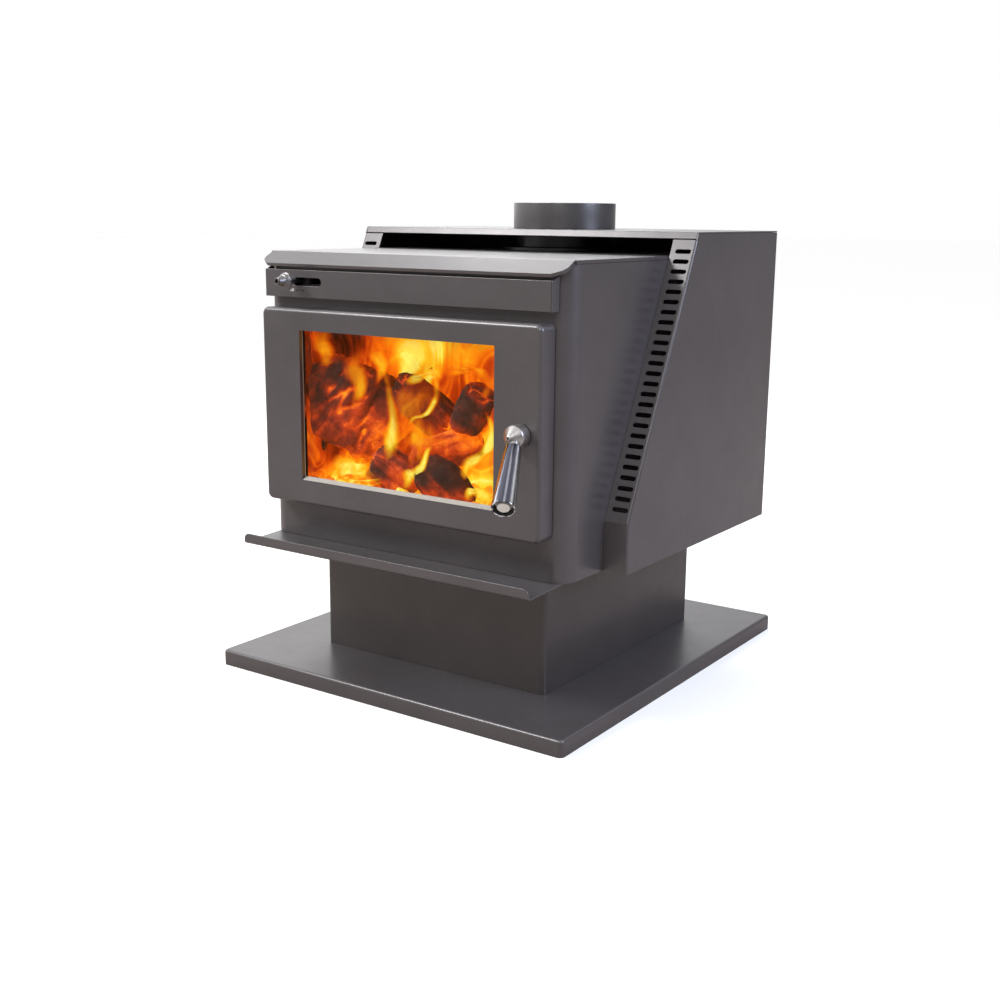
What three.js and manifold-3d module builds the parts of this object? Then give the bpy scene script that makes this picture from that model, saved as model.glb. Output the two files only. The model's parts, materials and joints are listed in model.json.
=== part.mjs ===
// A free-standing wood burning stove on a plinth, in millimetres, +Z up.
// The front faces -Y, +X is to the right seen from the front, and the origin is
// the middle of the hearth's underside. The door is hinged on the left.
import * as THREE from "three";
import { mergeVertices } from "three/addons/utils/BufferGeometryUtils.js";
import Module from "manifold-3d";

const wasm = await Module();
wasm.setup();

// ---------------------------------------------------------------- clearances
const GAP = 0.3; // between pieces that touch
const TURNING_GAP = 0.5; // round a pin or shaft that turns in its hole
const PLAY = 1.2; // between the door and what it shuts against

// --------------------------------------------------------- driving dimensions
const HEARTH_WIDTH = 624;
const HEARTH_DEPTH = 677.6;
const HEARTH_HEIGHT = 24.3;
const HEARTH_SHEET = 3;
const HEARTH_EDGE = 4.5; // radius of the hearth's top edges
const HEARTH_CORNER = 7.5; // radius of its corners seen from above

const PLINTH_WIDTH = 407;
const PLINTH_DEPTH = 449;
const PLINTH_HEIGHT = 184.7;
const PLINTH_SHEET = 3;
const PLINTH_SETBACK = 52; // from the body's front to the plinth's front
const PLINTH_CORNER = 8;
const PLINTH_FLANGE = 34; // inward flange that the body is bolted to
const PLINTH_OPENING_CORNER = 10;

const BODY_DEPTH = 521;
const BODY_FORWARD = 5.5; // the body's middle is this far in front of the hearth's
const BODY_WALL = 5;
const BODY_CORNER = 30; // radius of the body's two front corners
const BODY_BACK_CORNER = 3;

const WINDOW_WIDTH = 344.4;
const WINDOW_HEIGHT = 221.4;
const WINDOW_CORNER = 2;
const STILE_WIDTH = 73.6; // door, beside the window
const TOP_RAIL = 31; // door, above the window
const BOTTOM_RAIL = 36.4; // door, below the window
const DOOR_DEPTH = 31.4;
const DOOR_PLATE = 6;
const DOOR_RETURN = 5.6; // thickness of the door's folded sides
const DOOR_EDGE = 6; // radius of the door's front edges
const DOOR_CORNER = 10; // radius of the door's corners seen from the front
const DOOR_SIDE_MARGIN = 22.1; // door's edge to the body's side
const DOOR_SILL = 59; // body's bottom to the door's bottom
const DOOR_TO_FASCIA = 14.7;

const FASCIA_INSET = 17.2; // body's side to the control box's side
const FASCIA_HEIGHT = 39.6;
const FASCIA_DEPTH = 17.1; // how far the control box stands out from the body
const FASCIA_SHEET = 2;
const FASCIA_TO_PLATE = 20.2;
const FASCIA_EAR = 4.5; // how far the side returns rise above the front
const FASCIA_EAR_SETBACK = 3; // from the front to the foot of the ear's slope
const FASCIA_EAR_SLOPE = 8; // depth of that slope
const FASCIA_BROW = 8; // inward fold along the front's top

const PLATE_THICKNESS = 5;
const PLATE_OVERHANG = 1.1; // body's side to the top plate's side, inwards
const TONGUE_RUN = 31.7; // front tongue of the top plate, level
const TONGUE_DROP = 16.6; // and down
const TONGUE_START = 14; // from the body's front back to the fold
const TONGUE_CHAMFER = 17;
const TONGUE_CHAMFER_BLEND = 3; // softens the chamfer's two ends
const TONGUE_STEP = 3; // the tongue is narrower than the plate by this, each side

const LIP_WIDTH = 513;
const LIP_REACH = 72.8; // from the body's front
const LIP_SHEET = 3;
const LIP_UPTURN = 16;
const LIP_DROP = 2.6;
const LIP_TUCK = 27; // how far it runs back under the body
const LIP_FOLD_SETBACK = 4; // from the body's front to where it starts to slope
const LIP_BEND = 5; // outer radius of the bend at its front
const LIP_BEND_INSIDE = 3;
const LIP_CORNER = 9; // radius of the upturn's top corners

const JACKET_GAP = 36; // air gap beside the body, inside the heat shield
const REAR_GAP = 37.8; // and behind it
const SHIELD_SHEET = 2;
const SHIELD_SETBACK = 99.5; // from the body's front to the shield's front edge
const SHIELD_KNEE = 71.6; // height of the shield's upright front edge
const SHIELD_LEAN = 181.7; // how far back the sloping edge runs
const SHIELD_ABOVE_PLATE = 34; // shield's top above the top plate
const SHIELD_LIP = 10.5;
const FLANGE_TO_LIP = 1.6; // between the flange's top end and the lid's lip
const SLOT_COUNT = 26;
const SLOT_LENGTH = 25;
const SLOT_HEIGHT = 6.8;
const FIRST_SLOT = 18.7; // from the knee along the slope
const LAST_SLOT_MARGIN = 30; // from the last slot to the slope's top end
const SLOT_OUTWARD = 0.9; // slots lie this far outside the flange's middle
const SHIELD_BELOW_BODY = 0.9;
const LID_TO_FLUE = 1.2; // clearance round the spigot in the lid
const STANDOFF_OUT = 0.72; // share of the body's half width
const STANDOFF_FOOT = 20;
const STANDOFF_HEAD = 18;
const STANDOFF_LOW = 60; // above the body's bottom
const STANDOFF_HIGH = 40; // below the body's top

const FLUE_BORE = 75; // radius
const FLUE_WALL = 4;
const FLUE_FROM_BACK = 107.7; // body's back to the flue's middle
const FLUE_FLANGE_REACH = 21; // beyond the spigot's outside
const FLUE_FLANGE_THICKNESS = 5;
const COLLAR_HEIGHT = 40;
const COLLAR_WALL = 2.9;
const SPIGOT_BELOW_COLLAR = 6; // the spigot's rim below the collar's rim

const BRICK = 25.4; // firebrick thickness
const BRICK_HEIGHT = 232;
const BRICK_FRONT = 38; // from the inside of the front plate to the side bricks
const BRICK_PAST_CORNER = 3; // floor bricks start this far into the corners' curve
const BAFFLE_THICKNESS = 25;
const BAFFLE_ABOVE_BRICK = 22;
const BAFFLE_FRONT = 150; // smoke gap in front of the baffle
const RAIL_LEG = 24;
const RAIL_SHEET = 3;
const RAIL_ABOVE_BRICK = 2;
const AIRWASH_DEPTH = 34;
const AIRWASH_SHEET = 3;
const AIRWASH_ABOVE_OPENING = 24;
const AIRWASH_ABOVE_PORTS = 24;
const AIRWASH_FROM_CORNER = 4;
const AIRWASH_SLIT = 6.7; // width of the slit that washes the glass

const GLASS_THICKNESS = 4;
const GLASS_OVERLAP = 6; // glass behind the door plate, all round
const GASKET_THICKNESS = 2;
const SILL_RISE = 5.2;
const SILL_LIP = 0.8; // its height at the door's face
const SILL_BACK = 1.2; // its flat part, against the glass
const SILL_SETBACK = 0.5; // behind the door's face
const SILL_END = 1; // from the window's side to the end of the sill tape
const CLAMP_FOOT = 18; // window edge to the clamp's outer edge
const CLAMP_DEPTH = 8.6;
const CLAMP_INSET = 22; // window end to the clamp's end
const CLAMP_LIP = 1; // window edge to the clamp's inner edge
const CLAMP_SCREW = 2.4; // radius
const CLAMP_SCREW_HEAD = 4.6;
const CLAMP_SCREW_HEAD_HEIGHT = 2.6;
const CLAMP_SCREW_FROM_END = 30;
const LINER_SHEET = 3;
const LINER_FROM_BACK = 5.8; // door's back edge to the liner
const OPENING_OFFSET = 5; // body's opening, outside the window's outline
const OPENING_CORNER = 10;
const CHANNEL_TO_FOLD = 1.4; // rope channel to the door's nearest folded side
const CHANNEL_SHORT = 1; // channel's walls to the door's back
const CHANNEL_WALL = 2;
const ROPE_WIDTH = 12;

const HINGE_FROM_EDGE = 12.8; // pin's axis from the door's left edge
const HINGE_FROM_BACK = 16; // and from the door's back
const HINGE_PIN = 4; // radius
const HINGE_BEARING = 14; // door's edge to the bearing's inner end
const HINGE_BEARING_WALL = 2.6;
const HINGE_HEAD = 2.4; // height of the pin's head, and its reach round the pin
const HINGE_END_GAP = 0.8; // between the door's bearing and the bracket
const HINGE_SKIN = 2; // left of the door's edge beyond the pin's hole
const HINGE_SLOT_FRONT = 12.4; // slot in the door's side, in front of the pin's axis
const BRACKET_THICKNESS = 4;
const BRACKET_HALF_WIDTH = 6.5;

const LATCH_FROM_EDGE = 30.1; // shaft's axis from the door's right edge
const LATCH_HEIGHT = 107.4; // shaft's axis above the window's bottom edge
const SHAFT = 6; // radius
const BUSH_WALL = 2.5;
const BUSH_FLANGE = 3;
const BUSH_FLANGE_THICKNESS = 0.9;
const BOSS_RADIUS = 15.6;
const BOSS_LENGTH = 18.4;
const BOSS_CONE = 12.4;
const BOSS_DIMPLE = 2; // radius of the small hole at the cone's tip
const BOSS_SOCKET = 5; // depth of the shaft's socket in the boss
const NECK_IN_BOSS = 5.6; // from the neck's root to the bottom of its socket
const NECK_IN_GRIP = 12;
const NECK_RADIUS = 6.5;
const NECK_ROOT = 14.2; // neck's root along the boss
const NECK_LENGTH = 21;
const HANDLE_SPLAY = 43.4; // degrees between the grip and the boss's axis
const HANDLE_TURN = 31.1; // degrees from hanging straight down, to the right
const GRIP_LENGTH = 104;
const GRIP_NEAR_RADIUS = 10.9;
const GRIP_FAR_RADIUS = 15.5;
const GRIP_WALL = 2.2;
const PLUG_RADIUS = 8.2;
const PLUG_DEPTH = 13; // from the grip's free end to the plug's back
const PLUG_COLLAR = 4;
const PLUG_RECESS = 2.2; // plug's face inside the grip's end
const CAM_THICKNESS = 5;
const CAM_HUB_WALL = 4;
const CAM_LENGTH = 16;
const CAM_HALF_WIDTH = 5;
const HOOK_THICKNESS = 4;
const HOOK_CLEARANCE = 1; // between the hook, the door plate and the cam
const KEEPER_TO_CAM = 0.9; // between the cam's end and the keeper's post
const KEEPER_HOOK = 6.1; // how far the hook reaches over the cam's end
const KEEPER_HALF_HEIGHT = 12;
const KEEPER_FOOT = 9;
const KEEPER_FOOT_THICKNESS = 3;
const KEEPER_TO_FOLD = 3.2; // keeper's outer face to the door's folded side
const KEEPER_NOTCH = 22; // half height of the notch in the door's liner
const SHAFT_PAST_CAM = 3;

const KNOB_FROM_LEFT = 60.2; // knob's axis from the control box's left side
const SLIDE_TRAVEL = 43;
const AIR_ROD = 3.5; // radius
const AIR_SLOT_CLEARANCE = 2.3;
const AIR_SLOT_DROP = 1.5; // slot's middle below the rod's
const AIR_SLIDE_THICKNESS = 2.5;
const AIR_SLIDE_HEIGHT = 22;
const PORT_COUNT = 5;
const PORT_LENGTH = 34;
const PORT_HEIGHT = 11;
const PORT_PITCH = 80;
const PORT_RISE = 24.4; // ports' and knob's middle above the control box's bottom
const AIR_SLIDE_PAST_PORT = 12;
const AIR_SLIDE_TO_SIDE = 2; // left at the end of its travel
const AIR_WINDOW_MARGIN = 1;
const AIR_ROD_AHEAD = 2.5; // rod's end in front of the control box

const BOLT = 4; // radius
const BOLT_HEAD = 7;
const BOLT_HEAD_HEIGHT = 5;

// --------------------------------------------------------------- derived sizes
const doorWidth = WINDOW_WIDTH + 2 * STILE_WIDTH;
const doorHeight = WINDOW_HEIGHT + TOP_RAIL + BOTTOM_RAIL;
const halfDoor = doorWidth / 2;
const halfWindow = WINDOW_WIDTH / 2;
const halfBody = halfDoor + DOOR_SIDE_MARGIN;

const plinthBottom = HEARTH_HEIGHT + GAP;
const plinthTop = plinthBottom + PLINTH_HEIGHT;
const bodyBottom = plinthTop + GAP;
const doorBottom = bodyBottom + DOOR_SILL;
const doorTop = doorBottom + doorHeight;
const windowBottom = doorBottom + BOTTOM_RAIL;
const windowTop = windowBottom + WINDOW_HEIGHT;
const fasciaBottom = doorTop + DOOR_TO_FASCIA;
const fasciaTop = fasciaBottom + FASCIA_HEIGHT;
const plateBottom = fasciaTop + FASCIA_TO_PLATE;
const plateTop = plateBottom + PLATE_THICKNESS;
const bodyTop = plateBottom - GAP;
const shieldTop = plateTop + SHIELD_ABOVE_PLATE;
const shieldBottom = bodyBottom - SHIELD_BELOW_BODY;

const bodyFront = -BODY_DEPTH / 2 - BODY_FORWARD;
const bodyBack = bodyFront + BODY_DEPTH;
const doorBack = bodyFront - PLAY;
const doorFront = doorBack - DOOR_DEPTH;
const fasciaFront = bodyFront - FASCIA_DEPTH;
const plinthFront = bodyFront + PLINTH_SETBACK;
const flueY = bodyBack - FLUE_FROM_BACK;
const halfFascia = halfBody - FASCIA_INSET;

// The top plate's tongue, bent down from a fold behind the body's front.
const foldY = bodyFront + TONGUE_START;
const tongueSlope = Math.atan2(TONGUE_DROP, TONGUE_RUN);
const tongueLength = Math.hypot(TONGUE_RUN, TONGUE_DROP);
const underTongue = (y, clearance) =>
  plateTop - (PLATE_THICKNESS + clearance) / Math.cos(tongueSlope) - (foldY - y) * Math.tan(tongueSlope);

const innerSide = halfBody - BODY_WALL;
const innerFront = bodyFront + BODY_WALL;
const innerBack = bodyBack - BODY_WALL;
const innerBottom = bodyBottom + BODY_WALL;
const brickBottom = innerBottom + GAP + BRICK + GAP; // on the floor bricks
const brickTop = brickBottom + BRICK_HEIGHT;

const shaftX = halfDoor - LATCH_FROM_EDGE;
const shaftZ = windowBottom + LATCH_HEIGHT;

// ------------------------------------------------------------------- materials
const paint = () => new THREE.MeshStandardMaterial({ color: 0x5b585a, roughness: 0.5, metalness: 0.35 });
const darkPaint = () => new THREE.MeshStandardMaterial({ color: 0x3a3839, roughness: 0.6, metalness: 0.3 });
const bareSteel = () => new THREE.MeshStandardMaterial({ color: 0x8d8d8f, roughness: 0.4, metalness: 0.9 });
const satinSteel = () => new THREE.MeshStandardMaterial({ color: 0xb9b6b4, roughness: 0.35, metalness: 1 });
const chrome = () => new THREE.MeshStandardMaterial({ color: 0xdfe0e6, roughness: 0.08, metalness: 1 });
const glass = () => new THREE.MeshStandardMaterial({ color: 0xf0e6d2, roughness: 0.05, metalness: 0 });
const rope = () => new THREE.MeshStandardMaterial({ color: 0xb9b4a8, roughness: 1, metalness: 0 });
const firebrick = () => new THREE.MeshStandardMaterial({ color: 0xa08a6c, roughness: 0.95, metalness: 0 });
const board = () => new THREE.MeshStandardMaterial({ color: 0xc9c4b8, roughness: 0.95, metalness: 0 });

// ------------------------------------------------------------- solid modelling
/** A three.js geometry as a solid that can be joined and cut. */
function toSolid(geometry) {
  const plain = geometry.index ? geometry.toNonIndexed() : geometry.clone();
  plain.deleteAttribute("normal");
  plain.deleteAttribute("uv");
  const merged = mergeVertices(plain, 1e-4);
  return new wasm.Manifold(
    new wasm.Mesh({
      numProp: 3,
      vertProperties: new Float32Array(merged.attributes.position.array),
      triVerts: new Uint32Array(merged.index.array),
    }),
  );
}

/** A solid back as a three.js geometry. */
function toGeometry(solid) {
  const mesh = solid.getMesh();
  const geometry = new THREE.BufferGeometry();
  geometry.setAttribute("position", new THREE.BufferAttribute(mesh.vertProperties, 3));
  geometry.setIndex(new THREE.BufferAttribute(mesh.triVerts, 1));
  geometry.computeVertexNormals();
  return geometry;
}

const joined = (...solids) => solids.reduce((all, one) => all.add(one));
const cut = (solid, ...tools) => tools.reduce((left, tool) => left.subtract(tool), solid);

/** A box between two values along each axis. */
function block([x0, x1], [y0, y1], [z0, z1]) {
  const geometry = new THREE.BoxGeometry(x1 - x0, y1 - y0, z1 - z0);
  geometry.translate((x0 + x1) / 2, (y0 + y1) / 2, (z0 + z1) / 2);
  return toSolid(geometry);
}

// An extrusion's own axes (u, v, depth) turned so that depth runs along a world axis.
const ALONG = {
  x: new THREE.Matrix4().set(0, 0, 1, 0, 1, 0, 0, 0, 0, 1, 0, 0, 0, 0, 0, 1), // u = Y, v = Z
  y: new THREE.Matrix4().set(0, 1, 0, 0, 0, 0, 1, 0, 1, 0, 0, 0, 0, 0, 0, 1), // u = Z, v = X
  z: new THREE.Matrix4(), // u = X, v = Y
};

/** An outline pushed along a world axis from one value to another. */
function prism(axis, shape, from, to, options = {}) {
  const geometry = new THREE.ExtrudeGeometry(shape, {
    depth: to - from,
    bevelEnabled: false,
    curveSegments: 5,
    ...options,
  });
  geometry.translate(0, 0, from);
  geometry.applyMatrix4(ALONG[axis]);
  return toSolid(geometry);
}

/** A closed outline through points given as pairs. */
const outline = (points) => new THREE.Shape(points.map(([u, v]) => new THREE.Vector2(u, v)));

/** A rectangle whose four corners have their own radii, from the low-low one anticlockwise. */
function rounded([u0, u1], [v0, v1], radii) {
  const [a, b, c, d] = Array.isArray(radii) ? radii : [radii, radii, radii, radii];
  const shape = new THREE.Shape();
  shape.moveTo(u0 + a, v0);
  shape.lineTo(u1 - b, v0);
  if (b) shape.absarc(u1 - b, v0 + b, b, -Math.PI / 2, 0, false);
  shape.lineTo(u1, v1 - c);
  if (c) shape.absarc(u1 - c, v1 - c, c, 0, Math.PI / 2, false);
  shape.lineTo(u0 + d, v1);
  if (d) shape.absarc(u0 + d, v1 - d, d, Math.PI / 2, Math.PI, false);
  shape.lineTo(u0, v0 + a);
  if (a) shape.absarc(u0 + a, v0 + a, a, Math.PI, (3 * Math.PI) / 2, false);
  return shape;
}

/** A slot with round ends, centred, its length along u. */
function slotPath(u, v, length, height) {
  const radius = height / 2;
  const reach = length / 2 - radius;
  const path = new THREE.Path();
  path.absarc(u - reach, v, radius, Math.PI / 2, (3 * Math.PI) / 2, false);
  path.absarc(u + reach, v, radius, -Math.PI / 2, Math.PI / 2, false);
  path.closePath();
  return path;
}

/** A profile of [radius, height] pairs turned about an axis through a point. */
function turned(axis, profile, [x, y, z], sides = 24) {
  const points = profile.map(([radius, height]) => new THREE.Vector2(radius, height));
  const geometry = new THREE.LatheGeometry([...points, points[0].clone()], sides);
  if (axis === "z") geometry.rotateX(Math.PI / 2);
  if (axis === "x") geometry.rotateZ(-Math.PI / 2);
  geometry.translate(x, y, z);
  return toSolid(geometry);
}

/** A round bar along a world axis. */
function bar(axis, radius, from, to, centre, sides = 20) {
  const profile = [[0, from], [radius, from], [radius, to], [0, to]];
  return turned(axis, profile, centre, sides);
}

/** A tube along a world axis. */
function tube(axis, inner, outer, from, to, centre, sides = 32) {
  const profile = [[inner, from], [outer, from], [outer, to], [inner, to]];
  return turned(axis, profile, centre, sides);
}

const stove = new THREE.Group();
stove.name = "wood_burning_stove";

/** Adds a solid to the stove as a named piece. */
function piece(name, solid, material, parent = stove) {
  const mesh = new THREE.Mesh(toGeometry(solid), material);
  mesh.name = name;
  parent.add(mesh);
  return mesh;
}

// --------------------------------------------------------------------- hearth
function hearth() {
  const x = HEARTH_WIDTH / 2;
  const y = HEARTH_DEPTH / 2;
  const bevel = HEARTH_EDGE;
  const footprint = rounded([-x + bevel, x - bevel], [-y + bevel, y - bevel], HEARTH_CORNER - bevel);
  const skin = prism("z", footprint, -bevel, HEARTH_HEIGHT - bevel, {
    bevelEnabled: true,
    bevelThickness: bevel,
    bevelSize: bevel,
    bevelSegments: 3,
    curveSegments: 3,
  });
  const below = block([-x - 1, x + 1], [-y - 1, y + 1], [-2 * bevel - 1, 0]);
  const hollow = block(
    [-x + HEARTH_SHEET, x - HEARTH_SHEET],
    [-y + HEARTH_SHEET, y - HEARTH_SHEET],
    [-1, HEARTH_HEIGHT - HEARTH_SHEET],
  );
  piece("hearth_tray", cut(skin, below, hollow), paint());
  const inset = HEARTH_SHEET + GAP;
  const core = block([-x + inset, x - inset], [-y + inset, y - inset], [0, HEARTH_HEIGHT - inset]);
  piece("hearth_board", core, board());
}

// --------------------------------------------------------------------- plinth
/** Places of the four bolts that hold the body on the plinth. */
function plinthBolts() {
  const inset = PLINTH_SHEET + PLINTH_FLANGE / 2;
  const x = PLINTH_WIDTH / 2 - inset;
  const front = plinthFront + inset;
  const back = plinthFront + PLINTH_DEPTH - inset;
  return [[-x, front], [x, front], [-x, back], [x, back]];
}

function plinth() {
  const x = PLINTH_WIDTH / 2;
  const y = [plinthFront, plinthFront + PLINTH_DEPTH];
  const inside = (inset, radius) =>
    rounded([-x + inset, x - inset], [y[0] + inset, y[1] - inset], radius);
  const shell = cut(
    prism("z", inside(0, PLINTH_CORNER), plinthBottom, plinthTop),
    prism(
      "z",
      inside(PLINTH_SHEET, PLINTH_CORNER - PLINTH_SHEET),
      plinthBottom - 1,
      plinthTop - PLINTH_SHEET,
    ),
    prism("z", inside(PLINTH_SHEET + PLINTH_FLANGE, PLINTH_OPENING_CORNER), plinthBottom, plinthTop + 1),
    ...plinthBolts().map(([bx, by]) => bar("z", BOLT + TURNING_GAP, 0, bodyBottom, [bx, by, 0], 12)),
  );
  piece("plinth", shell, darkPaint());
  plinthBolts().forEach(([bx, by], i) => {
    const head = plinthTop - PLINTH_SHEET - GAP;
    const shank = bar("z", BOLT, head - 1, innerBottom - GAP, [bx, by, 0], 10);
    const hexagon = bar("z", BOLT_HEAD, head - BOLT_HEAD_HEIGHT, head, [bx, by, 0], 6);
    piece(`plinth_bolt_${i + 1}`, joined(shank, hexagon), bareSteel());
  });
}

// ----------------------------------------------------------------------- body
const portX = (i) => (i - (PORT_COUNT - 1) / 2) * PORT_PITCH;
const portZ = fasciaBottom + PORT_RISE;
const windowGrown = (by) => ({
  x: [-halfWindow - by, halfWindow + by],
  z: [windowBottom - by, windowTop + by],
});

/** An opening with the window's outline grown by a margin, cut along Y. */
function windowPrism(by, radius, from, to) {
  const { x, z } = windowGrown(by);
  return prism("y", rounded(z, x, radius), from, to);
}

function firebox() {
  const corners = [BODY_CORNER, BODY_CORNER, BODY_BACK_CORNER, BODY_BACK_CORNER];
  const outer = rounded([-halfBody, halfBody], [bodyFront, bodyBack], corners);
  const inner = rounded(
    [-innerSide, innerSide],
    [innerFront, innerBack],
    [BODY_CORNER - BODY_WALL, BODY_CORNER - BODY_WALL, 0, 0],
  );
  const ports = Array.from({ length: PORT_COUNT }, (_, i) =>
    block(
      [portX(i) - PORT_LENGTH / 2, portX(i) + PORT_LENGTH / 2],
      [bodyFront - 1, innerFront + 1],
      [portZ - PORT_HEIGHT / 2, portZ + PORT_HEIGHT / 2],
    ),
  );
  // The front and its corners are trimmed to the slope of the top plate's tongue.
  const ahead = bodyFront - 5;
  const trim = outline([
    [foldY + 2, bodyTop + 1],
    [foldY, underTongue(foldY, GAP)],
    [ahead, underTongue(ahead, GAP)],
    [ahead, bodyTop + 1],
  ]);
  const shell = cut(
    prism("z", outer, bodyBottom, bodyTop),
    prism("z", inner, innerBottom, bodyTop + 1),
    prism("x", trim, -halfBody - 1, halfBody + 1),
    windowPrism(OPENING_OFFSET, OPENING_CORNER, bodyFront - 1, innerFront + 1),
    ...ports,
    ...plinthBolts().map(([bx, by]) =>
      bar("z", BOLT + TURNING_GAP, bodyBottom - 1, innerBottom + 1, [bx, by, 0], 12),
    ),
  );
  piece("firebox", shell, paint());
}

function topPlate() {
  const x = halfBody - PLATE_OVERHANG;
  const flat = block([-x, x], [foldY, bodyBack], [plateBottom, plateTop]);
  // The tongue's outline laid flat: v runs from its front edge back to the fold.
  const half = x - TONGUE_STEP;
  const blend = TONGUE_CHAMFER_BLEND;
  const cornerOf = (side) => [
    [side * half, -tongueLength + TONGUE_CHAMFER],
    [side * (half - blend), -tongueLength + TONGUE_CHAMFER - 2.3 * blend],
    [side * (half - TONGUE_CHAMFER + 1.7 * blend), -tongueLength + blend],
    [side * (half - TONGUE_CHAMFER), -tongueLength],
  ];
  const leaf = outline([[-half, 0], ...cornerOf(-1), ...cornerOf(1).reverse(), [half, 0]]);
  const tongue = new THREE.ExtrudeGeometry(leaf, {
    depth: PLATE_THICKNESS,
    bevelEnabled: false,
  });
  tongue.translate(0, 0, -PLATE_THICKNESS);
  tongue.rotateX(tongueSlope);
  tongue.translate(0, foldY, plateTop);
  const hole = bar("z", FLUE_BORE, plateBottom - 1, plateTop + 1, [0, flueY, 0], 32);
  const bent = joined(flat, toSolid(tongue));
  piece("top_plate", cut(bent, hole), paint());
}

// ---------------------------------------------------------------- control box
const knobX = -halfFascia + KNOB_FROM_LEFT;

function controlBox() {
  const back = bodyFront - GAP;
  const earTop = fasciaTop + FASCIA_EAR;
  const side = outline([
    [fasciaFront, fasciaBottom],
    [back, fasciaBottom],
    [back, earTop],
    [fasciaFront + FASCIA_EAR_SETBACK + FASCIA_EAR_SLOPE, earTop],
    [fasciaFront + FASCIA_EAR_SETBACK, fasciaTop],
    [fasciaFront, fasciaTop],
  ]);
  const slotLow = knobX - AIR_ROD - AIR_SLOT_CLEARANCE;
  const slotHigh = knobX + SLIDE_TRAVEL + AIR_ROD + AIR_SLOT_CLEARANCE;
  const front = rounded([-halfFascia, halfFascia], [fasciaBottom, fasciaTop], 0);
  const slotHeight = 2 * (AIR_ROD + AIR_SLOT_CLEARANCE);
  const slotZ = portZ - AIR_SLOT_DROP;
  front.holes.push(slotPath((slotLow + slotHigh) / 2, slotZ, slotHigh - slotLow, slotHeight));
  const face = new THREE.ExtrudeGeometry(front, {
    depth: FASCIA_SHEET,
    bevelEnabled: false,
    curveSegments: 5,
  });
  face.rotateX(Math.PI / 2);
  face.translate(0, fasciaFront + FASCIA_SHEET, 0);
  const floor = block(
    [-halfFascia + 1, halfFascia - 1],
    [fasciaFront + 1, back],
    [fasciaBottom, fasciaBottom + FASCIA_SHEET],
  );
  const brow = block(
    [-halfFascia + 1, halfFascia - 1],
    [fasciaFront + 1, fasciaFront + FASCIA_BROW],
    [fasciaTop - FASCIA_SHEET, fasciaTop],
  );
  const shell = joined(
    toSolid(face),
    prism("x", side, -halfFascia, -halfFascia + FASCIA_SHEET),
    prism("x", side, halfFascia - FASCIA_SHEET, halfFascia),
    floor,
    brow,
  );
  piece("control_box", shell, paint());
}

/** The plate that opens and shuts the air ports, its rod and its knob. */
function airControl() {
  const back = bodyFront - GAP;
  const front = back - AIR_SLIDE_THICKNESS;
  const reach = PORT_LENGTH / 2;
  const lastPort = portX(PORT_COUNT - 1) + reach + AIR_SLIDE_PAST_PORT;
  const from = Math.min(portX(0) - reach, knobX - AIR_ROD) - AIR_SLIDE_PAST_PORT;
  const to = Math.min(lastPort, halfFascia - FASCIA_SHEET - SLIDE_TRAVEL - AIR_SLIDE_TO_SIDE);
  const halfHeight = AIR_SLIDE_HEIGHT / 2;
  // A window for each port that lies between the rod and the slide's right end.
  const clear = knobX + 2 * AIR_ROD + AIR_WINDOW_MARGIN;
  const windows = Array.from({ length: PORT_COUNT }, (_, i) => portX(i))
    .filter((x) => x - reach > clear && x + reach < to)
    .map((x) =>
      block(
        [x - reach - AIR_WINDOW_MARGIN, x + reach - AIR_WINDOW_MARGIN],
        [front - 1, back + 1],
        [portZ - PORT_HEIGHT / 2 - AIR_WINDOW_MARGIN, portZ + PORT_HEIGHT / 2 + AIR_WINDOW_MARGIN],
      ),
    );
  const plate = cut(
    block([from, to], [front, back], [portZ - halfHeight, portZ + halfHeight]),
    ...windows,
  );
  piece("air_slide", plate, bareSteel());
  const rodBack = front - GAP;
  const neck = fasciaFront - AIR_ROD_AHEAD;
  piece("air_rod", bar("y", AIR_ROD, neck, rodBack, [knobX, 0, portZ], 14), bareSteel());
  const seat = neck - GAP;
  // The knob's profile from its seat out to its tip: neck, disc, grooved cone and a small open end.
  const profile = [
    [0, 0],
    [4.7, 0],
    [4.7, 14],
    [9.6, 15.2],
    [12, 17.8],
    [12, 20],
    [10.7, 21.2],
    [11, 22],
    [9.2, 24.6],
    [8.6, 25.2],
    [8.6, 26.2],
    [4.5, 34],
    [5.3, 35.2],
    [5.3, 37],
    [2.9, 37],
    [2.9, 29],
    [0, 29],
  ].map(([radius, ahead]) => [radius, -ahead]);
  piece("air_knob", turned("y", profile.reverse(), [knobX, seat, portZ], 24), satinSteel());
}

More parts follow.
